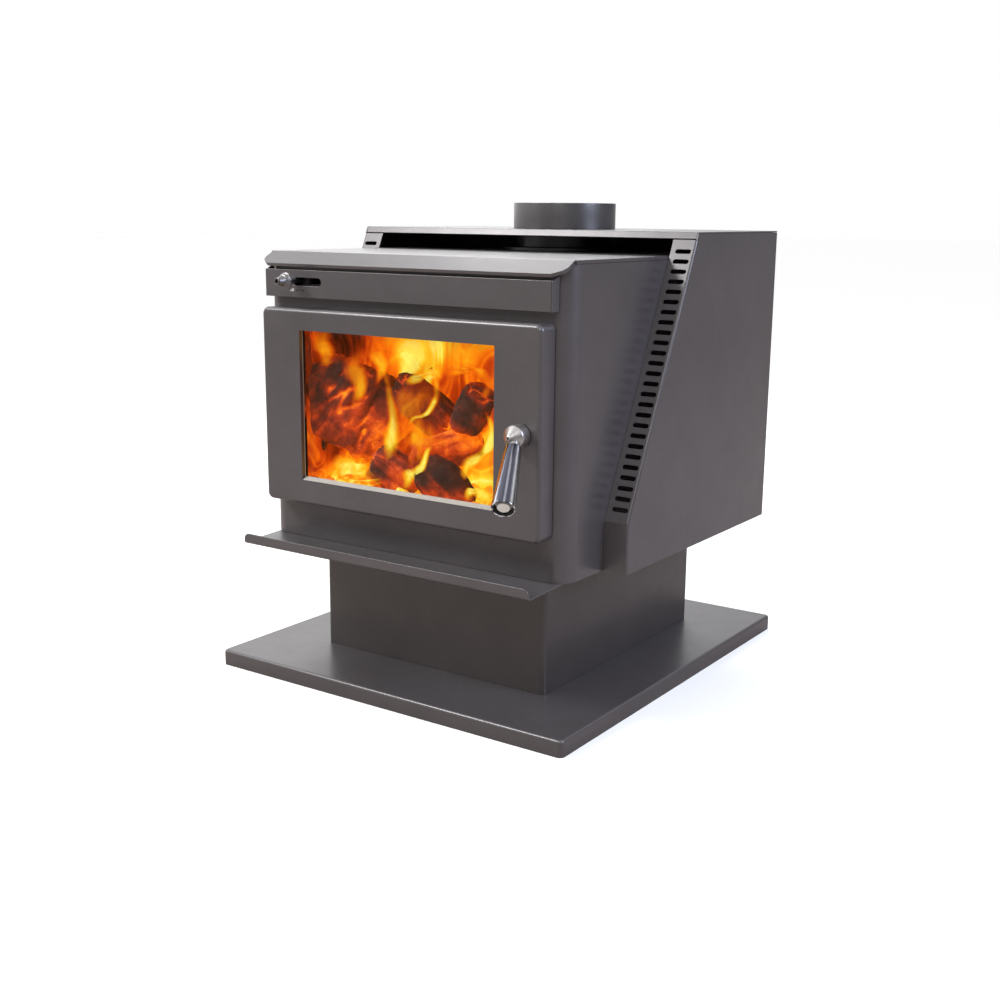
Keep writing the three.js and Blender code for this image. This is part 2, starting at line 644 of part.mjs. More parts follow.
// -------------------------------------------------------------------- ash lip
function ashLip() {
  const tip = bodyFront - LIP_REACH;
  const under = bodyBottom - GAP - LIP_SHEET;
  const low = under - LIP_DROP;
  const rear = bodyFront + LIP_TUCK;
  const bend = LIP_BEND;
  const fold = bodyFront + LIP_FOLD_SETBACK;
  const inside = tip + LIP_SHEET;
  const profile = new THREE.Shape();
  profile.moveTo(rear, under);
  profile.lineTo(rear, under + LIP_SHEET);
  profile.lineTo(fold, under + LIP_SHEET);
  profile.lineTo(inside + LIP_BEND_INSIDE, low + LIP_SHEET);
  profile.lineTo(inside, low + LIP_SHEET + LIP_BEND_INSIDE);
  profile.lineTo(inside, low + LIP_UPTURN);
  profile.lineTo(tip, low + LIP_UPTURN);
  profile.lineTo(tip, low + bend);
  profile.absarc(tip + bend, low + bend, bend, Math.PI, (3 * Math.PI) / 2, false);
  profile.lineTo(fold, under);
  const half = LIP_WIDTH / 2;
  const bent = prism("x", profile, -half, half, { curveSegments: 4 });
  const corners = prism(
    "y",
    rounded([low - LIP_UPTURN, low + LIP_UPTURN], [-half, half], [0, LIP_CORNER, LIP_CORNER, 0]),
    tip - 1,
    rear + 1,
  );
  piece("ash_lip", bent.intersect(corners), paint());
}

// ---------------------------------------------------------------- heat shield
const shieldX = halfBody + JACKET_GAP + SHIELD_SHEET;
const shieldFront = bodyFront + SHIELD_SETBACK;
const shieldBack = bodyBack + REAR_GAP + SHIELD_SHEET;
const kneeZ = shieldBottom + SHIELD_KNEE;
const slopeRise = shieldTop - kneeZ;
const slopeLength = Math.hypot(slopeRise, SHIELD_LEAN);
const slopeAngle = Math.atan2(SHIELD_LEAN, slopeRise);
const lidBottom = shieldTop - SHIELD_SHEET;

/** A side of the shield: its panel and the slotted flange along its front edge. */
function shieldSide(side) {
  const span = (near, far) => (side > 0 ? [near, far] : [-far, -near]);
  const top = lidBottom - GAP;
  const topY = shieldFront + ((top - kneeZ) / slopeRise) * SHIELD_LEAN;
  const panel = prism(
    "x",
    outline([
      [shieldFront, shieldBottom],
      [shieldBack, shieldBottom],
      [shieldBack, top],
      [topY, top],
      [shieldFront, kneeZ],
    ]),
    ...span(shieldX - SHIELD_SHEET, shieldX),
  );
  const inner = halfBody + GAP;
  const flangeSpan = span(inner, shieldX);
  const upright = block(flangeSpan, [shieldFront, shieldFront + SHIELD_SHEET], [shieldBottom, kneeZ + 0.5]);
  const flangeEnd = slopeLength - SHIELD_LIP - FLANGE_TO_LIP;
  const leaf = rounded(flangeSpan, [0, flangeEnd], 0);
  const slotX = side * ((inner + shieldX) / 2 + SLOT_OUTWARD);
  const pitch = (slopeLength - LAST_SLOT_MARGIN - FIRST_SLOT) / (SLOT_COUNT - 1);
  for (let i = 0; i < SLOT_COUNT; i += 1) {
    leaf.holes.push(slotPath(slotX, FIRST_SLOT + i * pitch, SLOT_LENGTH, SLOT_HEIGHT));
  }
  const flange = new THREE.ExtrudeGeometry(leaf, {
    depth: SHIELD_SHEET,
    bevelEnabled: false,
    curveSegments: 2,
  });
  flange.translate(0, 0, -SHIELD_SHEET);
  flange.rotateX(Math.PI / 2 - slopeAngle);
  flange.translate(0, shieldFront, kneeZ);
  return joined(panel, upright, toSolid(flange));
}

function heatShield() {
  piece("shield_side_left", shieldSide(-1), paint());
  piece("shield_side_right", shieldSide(1), paint());
  const inside = shieldX - SHIELD_SHEET - GAP;
  const backTop = lidBottom - GAP;
  piece(
    "shield_back",
    block([-inside, inside], [shieldBack - SHIELD_SHEET, shieldBack], [shieldBottom, backTop]),
    paint(),
  );
  const edgeY = shieldFront + SHIELD_LEAN;
  const dy = Math.sin(slopeAngle);
  const dz = Math.cos(slopeAngle);
  const lid = prism(
    "x",
    outline([
      [edgeY, shieldTop],
      [shieldBack, shieldTop],
      [shieldBack, lidBottom],
      [edgeY + SHIELD_SHEET * 1.25, lidBottom],
      [edgeY + SHIELD_SHEET * dz - SHIELD_LIP * dy, shieldTop - SHIELD_SHEET * dy - SHIELD_LIP * dz],
      [edgeY - SHIELD_LIP * dy, shieldTop - SHIELD_LIP * dz],
    ]),
    -shieldX,
    shieldX,
  );
  const flueHole = FLUE_BORE + FLUE_WALL + LID_TO_FLUE;
  const hole = bar("z", flueHole, lidBottom - 1, shieldTop + 1, [0, flueY, 0], 32);
  // The lip is let in between the side panels, whose sloping edges run on past its ends.
  const depth = 2 * SHIELD_LIP;
  const notch = (x0, x1) => block([x0, x1], [edgeY - depth, shieldBack + 1], [lidBottom - depth, lidBottom]);
  const lidCut = cut(lid, hole, notch(-shieldX - 1, -inside), notch(inside, shieldX + 1));
  piece("shield_top", lidCut, paint());
  // Z-shaped stand-offs hold the back panel away from the body.
  for (const [name, side] of [["left", -1], ["right", 1]]) {
    const near = bodyBack + GAP;
    const far = shieldBack - SHIELD_SHEET - GAP;
    const x = side * halfBody * STANDOFF_OUT;
    const profile = outline([
      [x, near],
      [x + side * STANDOFF_FOOT, near],
      [x + side * STANDOFF_FOOT, near + SHIELD_SHEET],
      [x + side * SHIELD_SHEET, near + SHIELD_SHEET],
      [x + side * SHIELD_SHEET, far],
      [x - side * STANDOFF_HEAD, far],
      [x - side * STANDOFF_HEAD, far - SHIELD_SHEET],
      [x, far - SHIELD_SHEET],
    ]);
    const bracket = prism("z", profile, bodyBottom + STANDOFF_LOW, bodyTop - STANDOFF_HIGH);
    piece(`shield_standoff_${name}`, bracket, bareSteel());
  }
}

// ----------------------------------------------------------------------- flue
function flue() {
  const centre = [0, flueY, 0];
  const foot = plateTop + GAP;
  const rim = shieldTop + GAP + COLLAR_HEIGHT;
  const outer = FLUE_BORE + FLUE_WALL;
  const profile = [
    [FLUE_BORE, foot],
    [outer + FLUE_FLANGE_REACH, foot],
    [outer + FLUE_FLANGE_REACH, foot + FLUE_FLANGE_THICKNESS],
    [outer, foot + FLUE_FLANGE_THICKNESS],
    [outer, rim - SPIGOT_BELOW_COLLAR],
    [FLUE_BORE, rim - SPIGOT_BELOW_COLLAR],
  ];
  piece("flue_spigot", turned("z", profile, centre, 32), darkPaint());
  const collarInner = outer + TURNING_GAP;
  const ring = tube("z", collarInner, collarInner + COLLAR_WALL, shieldTop + GAP, rim, centre, 40);
  piece("flue_collar", ring, paint());
}

// ------------------------------------------------------------ firebox lining
function lining() {
  const side = innerSide - GAP;
  const face = side - BRICK;
  const frontY = innerFront + BRICK_FRONT;
  const backY = innerBack - GAP;
  const floor = [innerBottom + GAP, innerBottom + GAP + BRICK];
  const floorFront = innerFront + BODY_CORNER - BODY_WALL - BRICK_PAST_CORNER;
  const lane = (2 * side) / 3;
  for (let i = 0; i < 3; i += 1) {
    const x = -side + i * lane;
    // Pockets keep the plinth bolts' ends clear.
    const pockets = plinthBolts().map(([bx, by]) =>
      bar("z", BOLT_HEAD, floor[0] - 1, floor[0] + BOLT_HEAD_HEIGHT + 1, [bx, by, 0], 12),
    );
    const slab = block([x + GAP / 2, x + lane - GAP / 2], [floorFront, backY], floor);
    piece(`floor_brick_${i + 1}`, cut(slab, ...pockets), firebrick());
  }
  const wall = [brickBottom, brickTop];
  piece("side_brick_left", block([-side, -face], [frontY, backY], wall), firebrick());
  piece("side_brick_right", block([face, side], [frontY, backY], wall), firebrick());
  const backFace = [backY - BRICK, backY];
  piece("back_brick", block([-face + GAP, face - GAP], backFace, wall), firebrick());
}

function baffle() {
  const side = innerSide - GAP;
  const backY = innerBack - GAP;
  const railTop = brickTop + BAFFLE_ABOVE_BRICK;
  const from = innerFront + BAFFLE_FRONT;
  piece(
    "baffle_plate",
    block([-side, side], [from, backY], [railTop + GAP, railTop + GAP + BAFFLE_THICKNESS]),
    firebrick(),
  );
  for (const [name, sign] of [["left", -1], ["right", 1]]) {
    const angle = outline([
      [sign * side, railTop],
      [sign * (side - RAIL_LEG), railTop],
      [sign * (side - RAIL_LEG), railTop - RAIL_SHEET],
      [sign * (side - RAIL_SHEET), railTop - RAIL_SHEET],
      [sign * (side - RAIL_SHEET), brickTop + RAIL_ABOVE_BRICK],
      [sign * side, brickTop + RAIL_ABOVE_BRICK],
    ]);
    const rail = new THREE.ExtrudeGeometry(angle, { depth: backY - from, bevelEnabled: false });
    rail.rotateX(Math.PI / 2);
    rail.translate(0, backY, 0);
    piece(`baffle_rail_${name}`, toSolid(rail), bareSteel());
  }
}

/** The steel box inside the front that turns the air down over the glass. */
function airwash() {
  const x = innerSide - BODY_CORNER - AIRWASH_FROM_CORNER;
  const front = innerFront + GAP;
  const back = front + AIRWASH_DEPTH;
  const z = [windowTop + OPENING_OFFSET + AIRWASH_ABOVE_OPENING, portZ + AIRWASH_ABOVE_PORTS];
  const wall = AIRWASH_SHEET;
  const inside = [-x + wall, x - wall];
  const box = block([-x, x], [front, back], z);
  const hollow = block(inside, [front - 1, back - wall], [z[0] + wall, z[1] - wall]);
  const slit = block(inside, [front - 1, innerFront + GAP + AIRWASH_SLIT + GAP], [z[0] - 1, z[0] + wall + 1]);
  piece("airwash_box", cut(box, hollow, slit), darkPaint());
}

// ----------------------------------------------------------------------- door
const door = new THREE.Group();
stove.add(door);
const pinX = -halfDoor + HINGE_FROM_EDGE;
const pinY = doorBack - HINGE_FROM_BACK;
const plateBack = doorFront + DOOR_PLATE;

/** Heights at one of the door's two hinges, way being the direction from the door out past its edge. */
function hingeHeights(edge, way) {
  const bearingEnd = edge - way * HINGE_BEARING;
  const near = bearingEnd - way * HINGE_END_GAP;
  const far = near - way * BRACKET_THICKNESS;
  const head = far - way * GAP;
  return { bearingEnd, near, far, head, headEnd: head - way * HINGE_HEAD };
}

const HINGES = [
  ["top", doorTop, 1],
  ["bottom", doorBottom, -1],
];
const upward = (a, b) => [Math.min(a, b), Math.max(a, b)];
const linerBack = doorBack - LINER_FROM_BACK;
const linerFront = linerBack - LINER_SHEET;
const camHub = SHAFT + CAM_HUB_WALL;
const keeperPost = shaftX + CAM_LENGTH + KEEPER_TO_CAM;

/** Places of the screws in each glass clamp, as [x, z]. */
function clampScrews(edge, way) {
  const x = halfWindow - CLAMP_INSET - CLAMP_SCREW_FROM_END;
  const z = edge + (way * (GLASS_OVERLAP + 2 * GAP + CLAMP_FOOT)) / 2;
  return [[-x, z], [x, z]];
}

function doorSkin() {
  const bevel = DOOR_EDGE;
  const z = [doorBottom, doorTop];
  const face = rounded(
    [z[0] + bevel, z[1] - bevel],
    [-halfDoor + bevel, halfDoor - bevel],
    DOOR_CORNER - bevel,
  );
  const skin = prism("y", face, doorFront + bevel, doorBack + bevel, {
    bevelEnabled: true,
    bevelThickness: bevel,
    bevelSize: bevel,
    bevelSegments: 4,
    curveSegments: 4,
  });
  const all = [-halfDoor - 1, halfDoor + 1];
  const behind = block(all, [doorBack, doorBack + 3 * bevel], [z[0] - 1, z[1] + 1]);
  const inset = DOOR_RETURN;
  const pocket = prism(
    "y",
    rounded([z[0] + inset, z[1] - inset], [-halfDoor + inset, halfDoor - inset], DOOR_CORNER - inset),
    plateBack,
    doorBack + 1,
  );
  // The back corner beside the pin is rounded so that it clears the body as the door swings.
  const heel = DOOR_CORNER;
  const heelCorner = new THREE.Shape();
  heelCorner.moveTo(-halfDoor - 1, doorBack - heel);
  heelCorner.lineTo(-halfDoor, doorBack - heel);
  heelCorner.absarc(-halfDoor + heel, doorBack - heel, heel, Math.PI, Math.PI / 2, true);
  heelCorner.lineTo(-halfDoor + heel, doorBack + 1);
  heelCorner.lineTo(-halfDoor - 1, doorBack + 1);
  const pinHole = HINGE_PIN + TURNING_GAP;
  const pinAxis = [pinX, pinY, 0];
  const pinHoles = HINGES.map(([, edge, way]) =>
    bar("z", pinHole, ...upward(edge - way * HINGE_SKIN, edge - way * (HINGE_BEARING + 1)), pinAxis, 16),
  );
  // Slots in the hinge side, which the brackets swing through.
  const bracketSlots = HINGES.map(([, edge, way]) => {
    const { near, far } = hingeHeights(edge, way);
    return block(
      [-halfDoor - 1, -halfDoor + inset + 1],
      [pinY - HINGE_SLOT_FRONT, doorBack + 1],
      upward(near + way * HINGE_END_GAP, far - way * HINGE_END_GAP),
    );
  });
  const skinCut = cut(
    skin,
    behind,
    pocket,
    windowPrism(0, WINDOW_CORNER, doorFront - 1, plateBack + 1),
    prism("z", heelCorner, z[0] - 1, z[1] + 1),
    ...pinHoles,
    ...bracketSlots,
    bar("y", SHAFT + BUSH_WALL + GAP, doorFront - 1, plateBack + 1, [shaftX, 0, shaftZ], 20),
  );
  // A boss inside the door round each pin hole gives the pin its bearing length.
  const outside = pinHole + HINGE_BEARING_WALL;
  const bearings = HINGES.map(([, edge, way]) =>
    tube("z", pinHole, outside, ...upward(edge - way * HINGE_SKIN, edge - way * HINGE_BEARING), pinAxis, 16),
  );
  piece("door_skin", joined(skinCut, ...bearings), paint(), door);
}

function doorLiner() {
  const edge = DOOR_RETURN + 2 * GAP;
  const sheet = prism(
    "y",
    rounded([doorBottom + edge, doorTop - edge], [-halfDoor + edge, halfDoor - edge], 4),
    linerFront,
    linerBack,
  );
  const through = [linerFront - 1, linerBack + 1];
  // The rope channel fills the rail between the window's clamps and the door's fold.
  const narrowest = Math.min(TOP_RAIL, BOTTOM_RAIL, STILE_WIDTH);
  const outerWall = narrowest - DOOR_RETURN - CHANNEL_TO_FOLD - CHANNEL_WALL;
  const innerWall = outerWall - ROPE_WIDTH;
  const channelHole = innerWall - CHANNEL_WALL;
  const channelBack = doorBack - CHANNEL_SHORT;
  const wall = (outerBy, innerBy) =>
    cut(
      windowPrism(outerBy, 6, linerFront + 0.5, channelBack),
      windowPrism(innerBy, 5, linerFront, channelBack + 1),
    );
  const keeperNotch = block(
    [keeperPost - KEEPER_FOOT - KEEPER_FOOT_THICKNESS, halfDoor],
    through,
    [shaftZ - KEEPER_NOTCH, shaftZ + KEEPER_NOTCH],
  );
  // Notches for the hinge bearings, and holes for the shaft and over the clamps' screws.
  const hingeNotches = HINGES.map(([, edge, way]) => {
    const heights = upward(edge - way * HINGE_SKIN, hingeHeights(edge, way).headEnd - way * 2);
    return block([-halfDoor, pinX + 2 * HINGE_PIN + 1], through, heights);
  });
  const access = [...clampScrews(windowBottom, -1), ...clampScrews(windowTop, 1)].map(([x, z]) =>
    bar("y", CLAMP_SCREW_HEAD + GAP, ...through, [x, 0, z], 16),
  );
  const liner = cut(
    joined(sheet, wall(innerWall, channelHole), wall(outerWall + CHANNEL_WALL, outerWall)),
    windowPrism(channelHole, 4, ...through),
    keeperNotch,
    bar("y", SHAFT + TURNING_GAP, ...through, [shaftX, 0, shaftZ], 20),
    ...hingeNotches,
    ...access,
  );
  piece("door_liner", liner, darkPaint(), door);

  const ropeRing = cut(
    windowPrism(outerWall - GAP, 5, linerBack + GAP, bodyFront - GAP),
    windowPrism(innerWall + GAP, 4, linerBack, bodyFront),
  );
  piece("door_rope_seal", ropeRing, rope(), door);
}

function doorGlazing() {
  const gasketFront = plateBack + GAP;
  const gasketBack = gasketFront + GASKET_THICKNESS;
  const glassFront = gasketBack + GAP;
  const glassBack = glassFront + GLASS_THICKNESS;
  const gasket = cut(
    windowPrism(GLASS_OVERLAP, 3, gasketFront, gasketBack),
    windowPrism(0.6, 2, gasketFront - 1, gasketBack + 1),
  );
  piece("glass_gasket", gasket, rope(), door);
  piece("door_glass", windowPrism(GLASS_OVERLAP, 3, glassFront, glassBack), glass(), door);
  const sillBack = glassFront - GAP;
  const sill = prism(
    "x",
    outline([
      [doorFront + SILL_SETBACK, windowBottom + GAP],
      [sillBack, windowBottom + GAP],
      [sillBack, windowBottom + SILL_RISE],
      [sillBack - SILL_BACK, windowBottom + SILL_RISE],
      [doorFront + SILL_SETBACK, windowBottom + GAP + SILL_LIP],
    ]),
    -halfWindow + SILL_END,
    halfWindow - SILL_END,
  );
  piece("window_sill_tape", sill, rope(), door);

  const back = plateBack + GAP + CLAMP_DEPTH;
  const reach = halfWindow - CLAMP_INSET;
  const clamps = [
    ["bottom", windowBottom, -1],
    ["top", windowTop, 1],
  ];
  clamps.forEach(([name, edge, way], row) => {
    const profile = outline([
      [glassBack + GAP, edge + way * CLAMP_LIP],
      [back, edge + way * CLAMP_LIP],
      [back, edge + way * CLAMP_FOOT],
      [plateBack + GAP, edge + way * CLAMP_FOOT],
      [plateBack + GAP, edge + way * (GLASS_OVERLAP + 2 * GAP)],
      [glassBack + GAP, edge + way * (GLASS_OVERLAP + 2 * GAP)],
    ]);
    const screws = clampScrews(edge, way);
    const holes = screws.map(([x, z]) => bar("y", CLAMP_SCREW + GAP, plateBack, back + 1, [x, 0, z], 12));
    piece(`glass_clamp_${name}`, cut(prism("x", profile, -reach, reach), ...holes), bareSteel(), door);
    screws.forEach(([x, z], i) => {
      const head = back + GAP;
      const shank = bar("y", CLAMP_SCREW, plateBack + GAP, head + 1, [x, 0, z], 10);
      const cap = bar("y", CLAMP_SCREW_HEAD, head, head + CLAMP_SCREW_HEAD_HEIGHT, [x, 0, z], 12);
      piece(`glass_screw_${2 * row + i + 1}`, joined(shank, cap), bareSteel(), door);
    });
  });
}

/** Brackets on the body that reach into the door, and the pins that the door turns on. */
function hinges() {
  const axis = [pinX, pinY, 0];
  for (const [name, edge, way] of HINGES) {
    const { near, far, head, headEnd } = hingeHeights(edge, way);
    const round = BRACKET_HALF_WIDTH - 0.5;
    const flat = rounded(
      [pinX - BRACKET_HALF_WIDTH, pinX + BRACKET_HALF_WIDTH],
      [pinY - BRACKET_HALF_WIDTH, bodyFront - GAP],
      [round, round, 0, 0],
    );
    const tab = prism("z", flat, ...upward(near, far));
    const hole = bar("z", HINGE_PIN + GAP, ...upward(near + way, far - way), axis, 16);
    piece(`hinge_bracket_${name}`, cut(tab, hole), paint());
    const tip = edge - way * (HINGE_SKIN + TURNING_GAP);
    const shank = bar("z", HINGE_PIN, ...upward(tip, headEnd), axis, 16);
    const cap = bar("z", HINGE_PIN + HINGE_HEAD, ...upward(head, headEnd), axis, 16);
    piece(`hinge_pin_${name}`, joined(shank, cap), bareSteel());
  }
}

// ---------------------------------------------------------------------- latch
const hookFront = plateBack + HOOK_CLEARANCE;
const hookBack = hookFront + HOOK_THICKNESS;
const camFront = hookBack + HOOK_CLEARANCE;
const camBack = camFront + CAM_THICKNESS;

/** The keeper on the body, whose hook the cam turns behind. */
function latchKeeper() {
  const base = bodyFront - GAP;
  const postEnd = halfDoor - DOOR_RETURN - KEEPER_TO_FOLD;
  const hookEnd = shaftX + CAM_LENGTH - KEEPER_HOOK;
  const foot = keeperPost - KEEPER_FOOT;
  const plan = outline([
    [foot, base],
    [postEnd, base],
    [postEnd, hookFront],
    [hookEnd, hookFront],
    [hookEnd, hookBack],
    [keeperPost, hookBack],
    [keeperPost, base - KEEPER_FOOT_THICKNESS],
    [foot, base - KEEPER_FOOT_THICKNESS],
  ]);
  const keeper = prism("z", plan, shaftZ - KEEPER_HALF_HEIGHT, shaftZ + KEEPER_HALF_HEIGHT);
  piece("latch_keeper", keeper, bareSteel());
}

function latch() {
  const centre = [shaftX, 0, shaftZ];
  const bushFace = doorFront - GAP - BUSH_FLANGE_THICKNESS;
  const bushProfile = [
    [SHAFT + TURNING_GAP, bushFace],
    [SHAFT + BUSH_WALL + BUSH_FLANGE, bushFace],
    [SHAFT + BUSH_WALL + BUSH_FLANGE, doorFront - GAP],
    [SHAFT + BUSH_WALL, doorFront - GAP],
    [SHAFT + BUSH_WALL, plateBack],
    [SHAFT + TURNING_GAP, plateBack],
  ];
  piece("latch_bush", turned("y", bushProfile, centre, 24), bareSteel(), door);

  const bossBack = bushFace - GAP;
  const socketFront = bossBack - BOSS_SOCKET;
  const bossFront = doorFront - BOSS_LENGTH;
  const apex = bossFront - BOSS_CONE;
  const splay = THREE.MathUtils.degToRad(HANDLE_SPLAY);
  const turn = THREE.MathUtils.degToRad(HANDLE_TURN);
  const along = new THREE.Vector3(
    Math.sin(splay) * Math.sin(turn),
    -Math.cos(splay),
    -Math.sin(splay) * Math.cos(turn),
  );
  const root = new THREE.Vector3(shaftX, doorFront - NECK_ROOT, shaftZ);
  /** A turned solid whose axis is the handle's, its heights measured from the neck's root. */
  const onHandle = (profile, sides) => {
    const points = profile.map(([radius, height]) => new THREE.Vector2(radius, height));
    const geometry = new THREE.LatheGeometry([...points, points[0].clone()], sides);
    geometry.applyQuaternion(new THREE.Quaternion().setFromUnitVectors(new THREE.Vector3(0, 1, 0), along));
    geometry.translate(root.x, root.y, root.z);
    return toSolid(geometry);
  };

  const bossProfile = [
    [0, apex + 2 * BOSS_DIMPLE],
    [BOSS_DIMPLE, apex + 2 * BOSS_DIMPLE],
    [BOSS_DIMPLE, apex],
    [BOSS_DIMPLE + 1.4, apex + 0.6],
    [BOSS_RADIUS - 0.7, bossFront - 0.4],
    [BOSS_RADIUS, bossFront + 0.8],
    [BOSS_RADIUS, bossBack],
    [SHAFT + GAP, bossBack],
    [SHAFT + GAP, socketFront],
    [0, socketFront],
  ];
  /** A plain round bar along the handle's axis. */
  const rod = (radius, from, to) => onHandle([[0, from], [radius, from], [radius, to], [0, to]], 20);
  const boss = turned("y", bossProfile, centre, 32);
  const socket = rod(NECK_RADIUS + GAP, NECK_IN_BOSS, NECK_LENGTH + GRIP_LENGTH);
  piece("handle_boss", cut(boss, socket), satinSteel(), door);
  const neckEnd = NECK_LENGTH + NECK_IN_GRIP;
  piece("handle_neck", rod(NECK_RADIUS, NECK_IN_BOSS + GAP, neckEnd), satinSteel(), door);

  const near = NECK_LENGTH;
  const far = near + GRIP_LENGTH;
  const bore = (height) => {
    const share = (height - near) / GRIP_LENGTH;
    return GRIP_NEAR_RADIUS + share * (GRIP_FAR_RADIUS - GRIP_NEAR_RADIUS) - GRIP_WALL;
  };
  const grip = onHandle(
    [
      [NECK_RADIUS + GAP, near],
      [GRIP_NEAR_RADIUS - 1, near],
      [GRIP_NEAR_RADIUS, near + 1.4],
      [GRIP_FAR_RADIUS, far - 1],
      [GRIP_FAR_RADIUS - 0.8, far],
      [GRIP_FAR_RADIUS - GRIP_WALL, far],
      [bore(neckEnd + 3), neckEnd + 3],
      [NECK_RADIUS + GAP, neckEnd + 1],
    ],
    32,
  );
  piece("handle_grip", grip, chrome(), door);
  const plugBack = far - PLUG_DEPTH;
  const plugFace = far - PLUG_RECESS;
  const plug = onHandle(
    [
      [0, plugBack],
      [bore(plugBack) - GAP, plugBack],
      [bore(plugBack) - GAP, plugBack + PLUG_COLLAR],
      [PLUG_RADIUS + 0.4, plugBack + PLUG_COLLAR + 1],
      [PLUG_RADIUS, plugFace],
      [0, plugFace],
    ],
    28,
  );
  piece("grip_end_plug", plug, satinSteel(), door);

  const shaft = bar("y", SHAFT, socketFront + GAP, camBack + SHAFT_PAST_CAM, centre, 20);
  piece("latch_shaft", shaft, bareSteel(), door);
  const cam = joined(
    bar("y", camHub, camFront, camBack, centre, 24),
    block(
      [shaftX, shaftX + CAM_LENGTH],
      [camFront, camBack],
      [shaftZ - CAM_HALF_WIDTH, shaftZ + CAM_HALF_WIDTH],
    ),
  );
  const eye = bar("y", SHAFT + GAP, camFront - 1, camBack + 1, centre, 20);
  piece("latch_cam", cut(cam, eye), bareSteel(), door);
}

hearth();
plinth();
firebox();
topPlate();
controlBox();
airControl();
ashLip();
heatShield();
flue();
lining();
baffle();
airwash();
doorSkin();
doorLiner();
doorGlazing();
hinges();
latchKeeper();
latch();

export default stove;
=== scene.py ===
"""Wood burning stove: its looks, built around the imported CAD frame.

Metres, +Z up. The front faces -Y and +X is to the right seen from the front.
"""

import json
import math

import bmesh
import bpy
from mathutils import Matrix, Vector, geometry, noise

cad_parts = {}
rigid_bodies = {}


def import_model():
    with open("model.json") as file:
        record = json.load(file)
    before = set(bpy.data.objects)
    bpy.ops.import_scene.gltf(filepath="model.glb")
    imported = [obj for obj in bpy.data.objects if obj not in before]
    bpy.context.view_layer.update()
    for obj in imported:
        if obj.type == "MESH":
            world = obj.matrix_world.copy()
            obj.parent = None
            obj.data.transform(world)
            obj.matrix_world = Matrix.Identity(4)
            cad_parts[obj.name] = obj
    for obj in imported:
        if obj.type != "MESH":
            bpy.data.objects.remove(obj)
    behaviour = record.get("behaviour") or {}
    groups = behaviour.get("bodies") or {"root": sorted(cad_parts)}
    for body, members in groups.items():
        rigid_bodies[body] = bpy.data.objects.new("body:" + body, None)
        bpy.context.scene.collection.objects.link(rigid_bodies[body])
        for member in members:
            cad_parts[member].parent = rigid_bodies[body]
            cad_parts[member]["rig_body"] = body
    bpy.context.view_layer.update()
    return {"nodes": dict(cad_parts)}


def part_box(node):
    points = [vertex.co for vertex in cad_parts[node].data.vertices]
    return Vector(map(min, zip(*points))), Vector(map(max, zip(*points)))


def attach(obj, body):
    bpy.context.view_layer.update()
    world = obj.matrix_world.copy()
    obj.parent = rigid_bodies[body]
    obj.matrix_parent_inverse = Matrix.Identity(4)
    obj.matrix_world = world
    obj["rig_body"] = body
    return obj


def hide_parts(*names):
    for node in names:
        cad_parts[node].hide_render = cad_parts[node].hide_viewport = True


MM = 0.001
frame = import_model()


# ---------------------------------------------------------------- the camera
def make_camera():
    """The camera, which looks from the front right and a little above."""
    azimuth, elevation, roll = (math.radians(a) for a in (34.4, 12.5, 0.536))
    ahead = Vector(
        (
            -math.sin(azimuth) * math.cos(elevation),
            math.cos(azimuth) * math.cos(elevation),
            -math.sin(elevation),
        )
    )
    level = Vector((math.cos(azimuth), math.sin(azimuth), 0))
    upright = level.cross(ahead)
    right = level * math.cos(roll) + upright * math.sin(roll)
    up = upright * math.cos(roll) - level * math.sin(roll)
    data = bpy.data.cameras.new("camera")
    data.sensor_width = 36
    data.lens = 46.67
    camera = bpy.data.objects.new("camera", data)
    axes = Matrix((right, up, -ahead)).transposed().to_4x4()
    camera.matrix_world = Matrix.Translation((1.1343, -1.6874, 0.6953)) @ axes
    bpy.context.scene.collection.objects.link(camera)
    bpy.context.scene.camera = camera


make_camera()


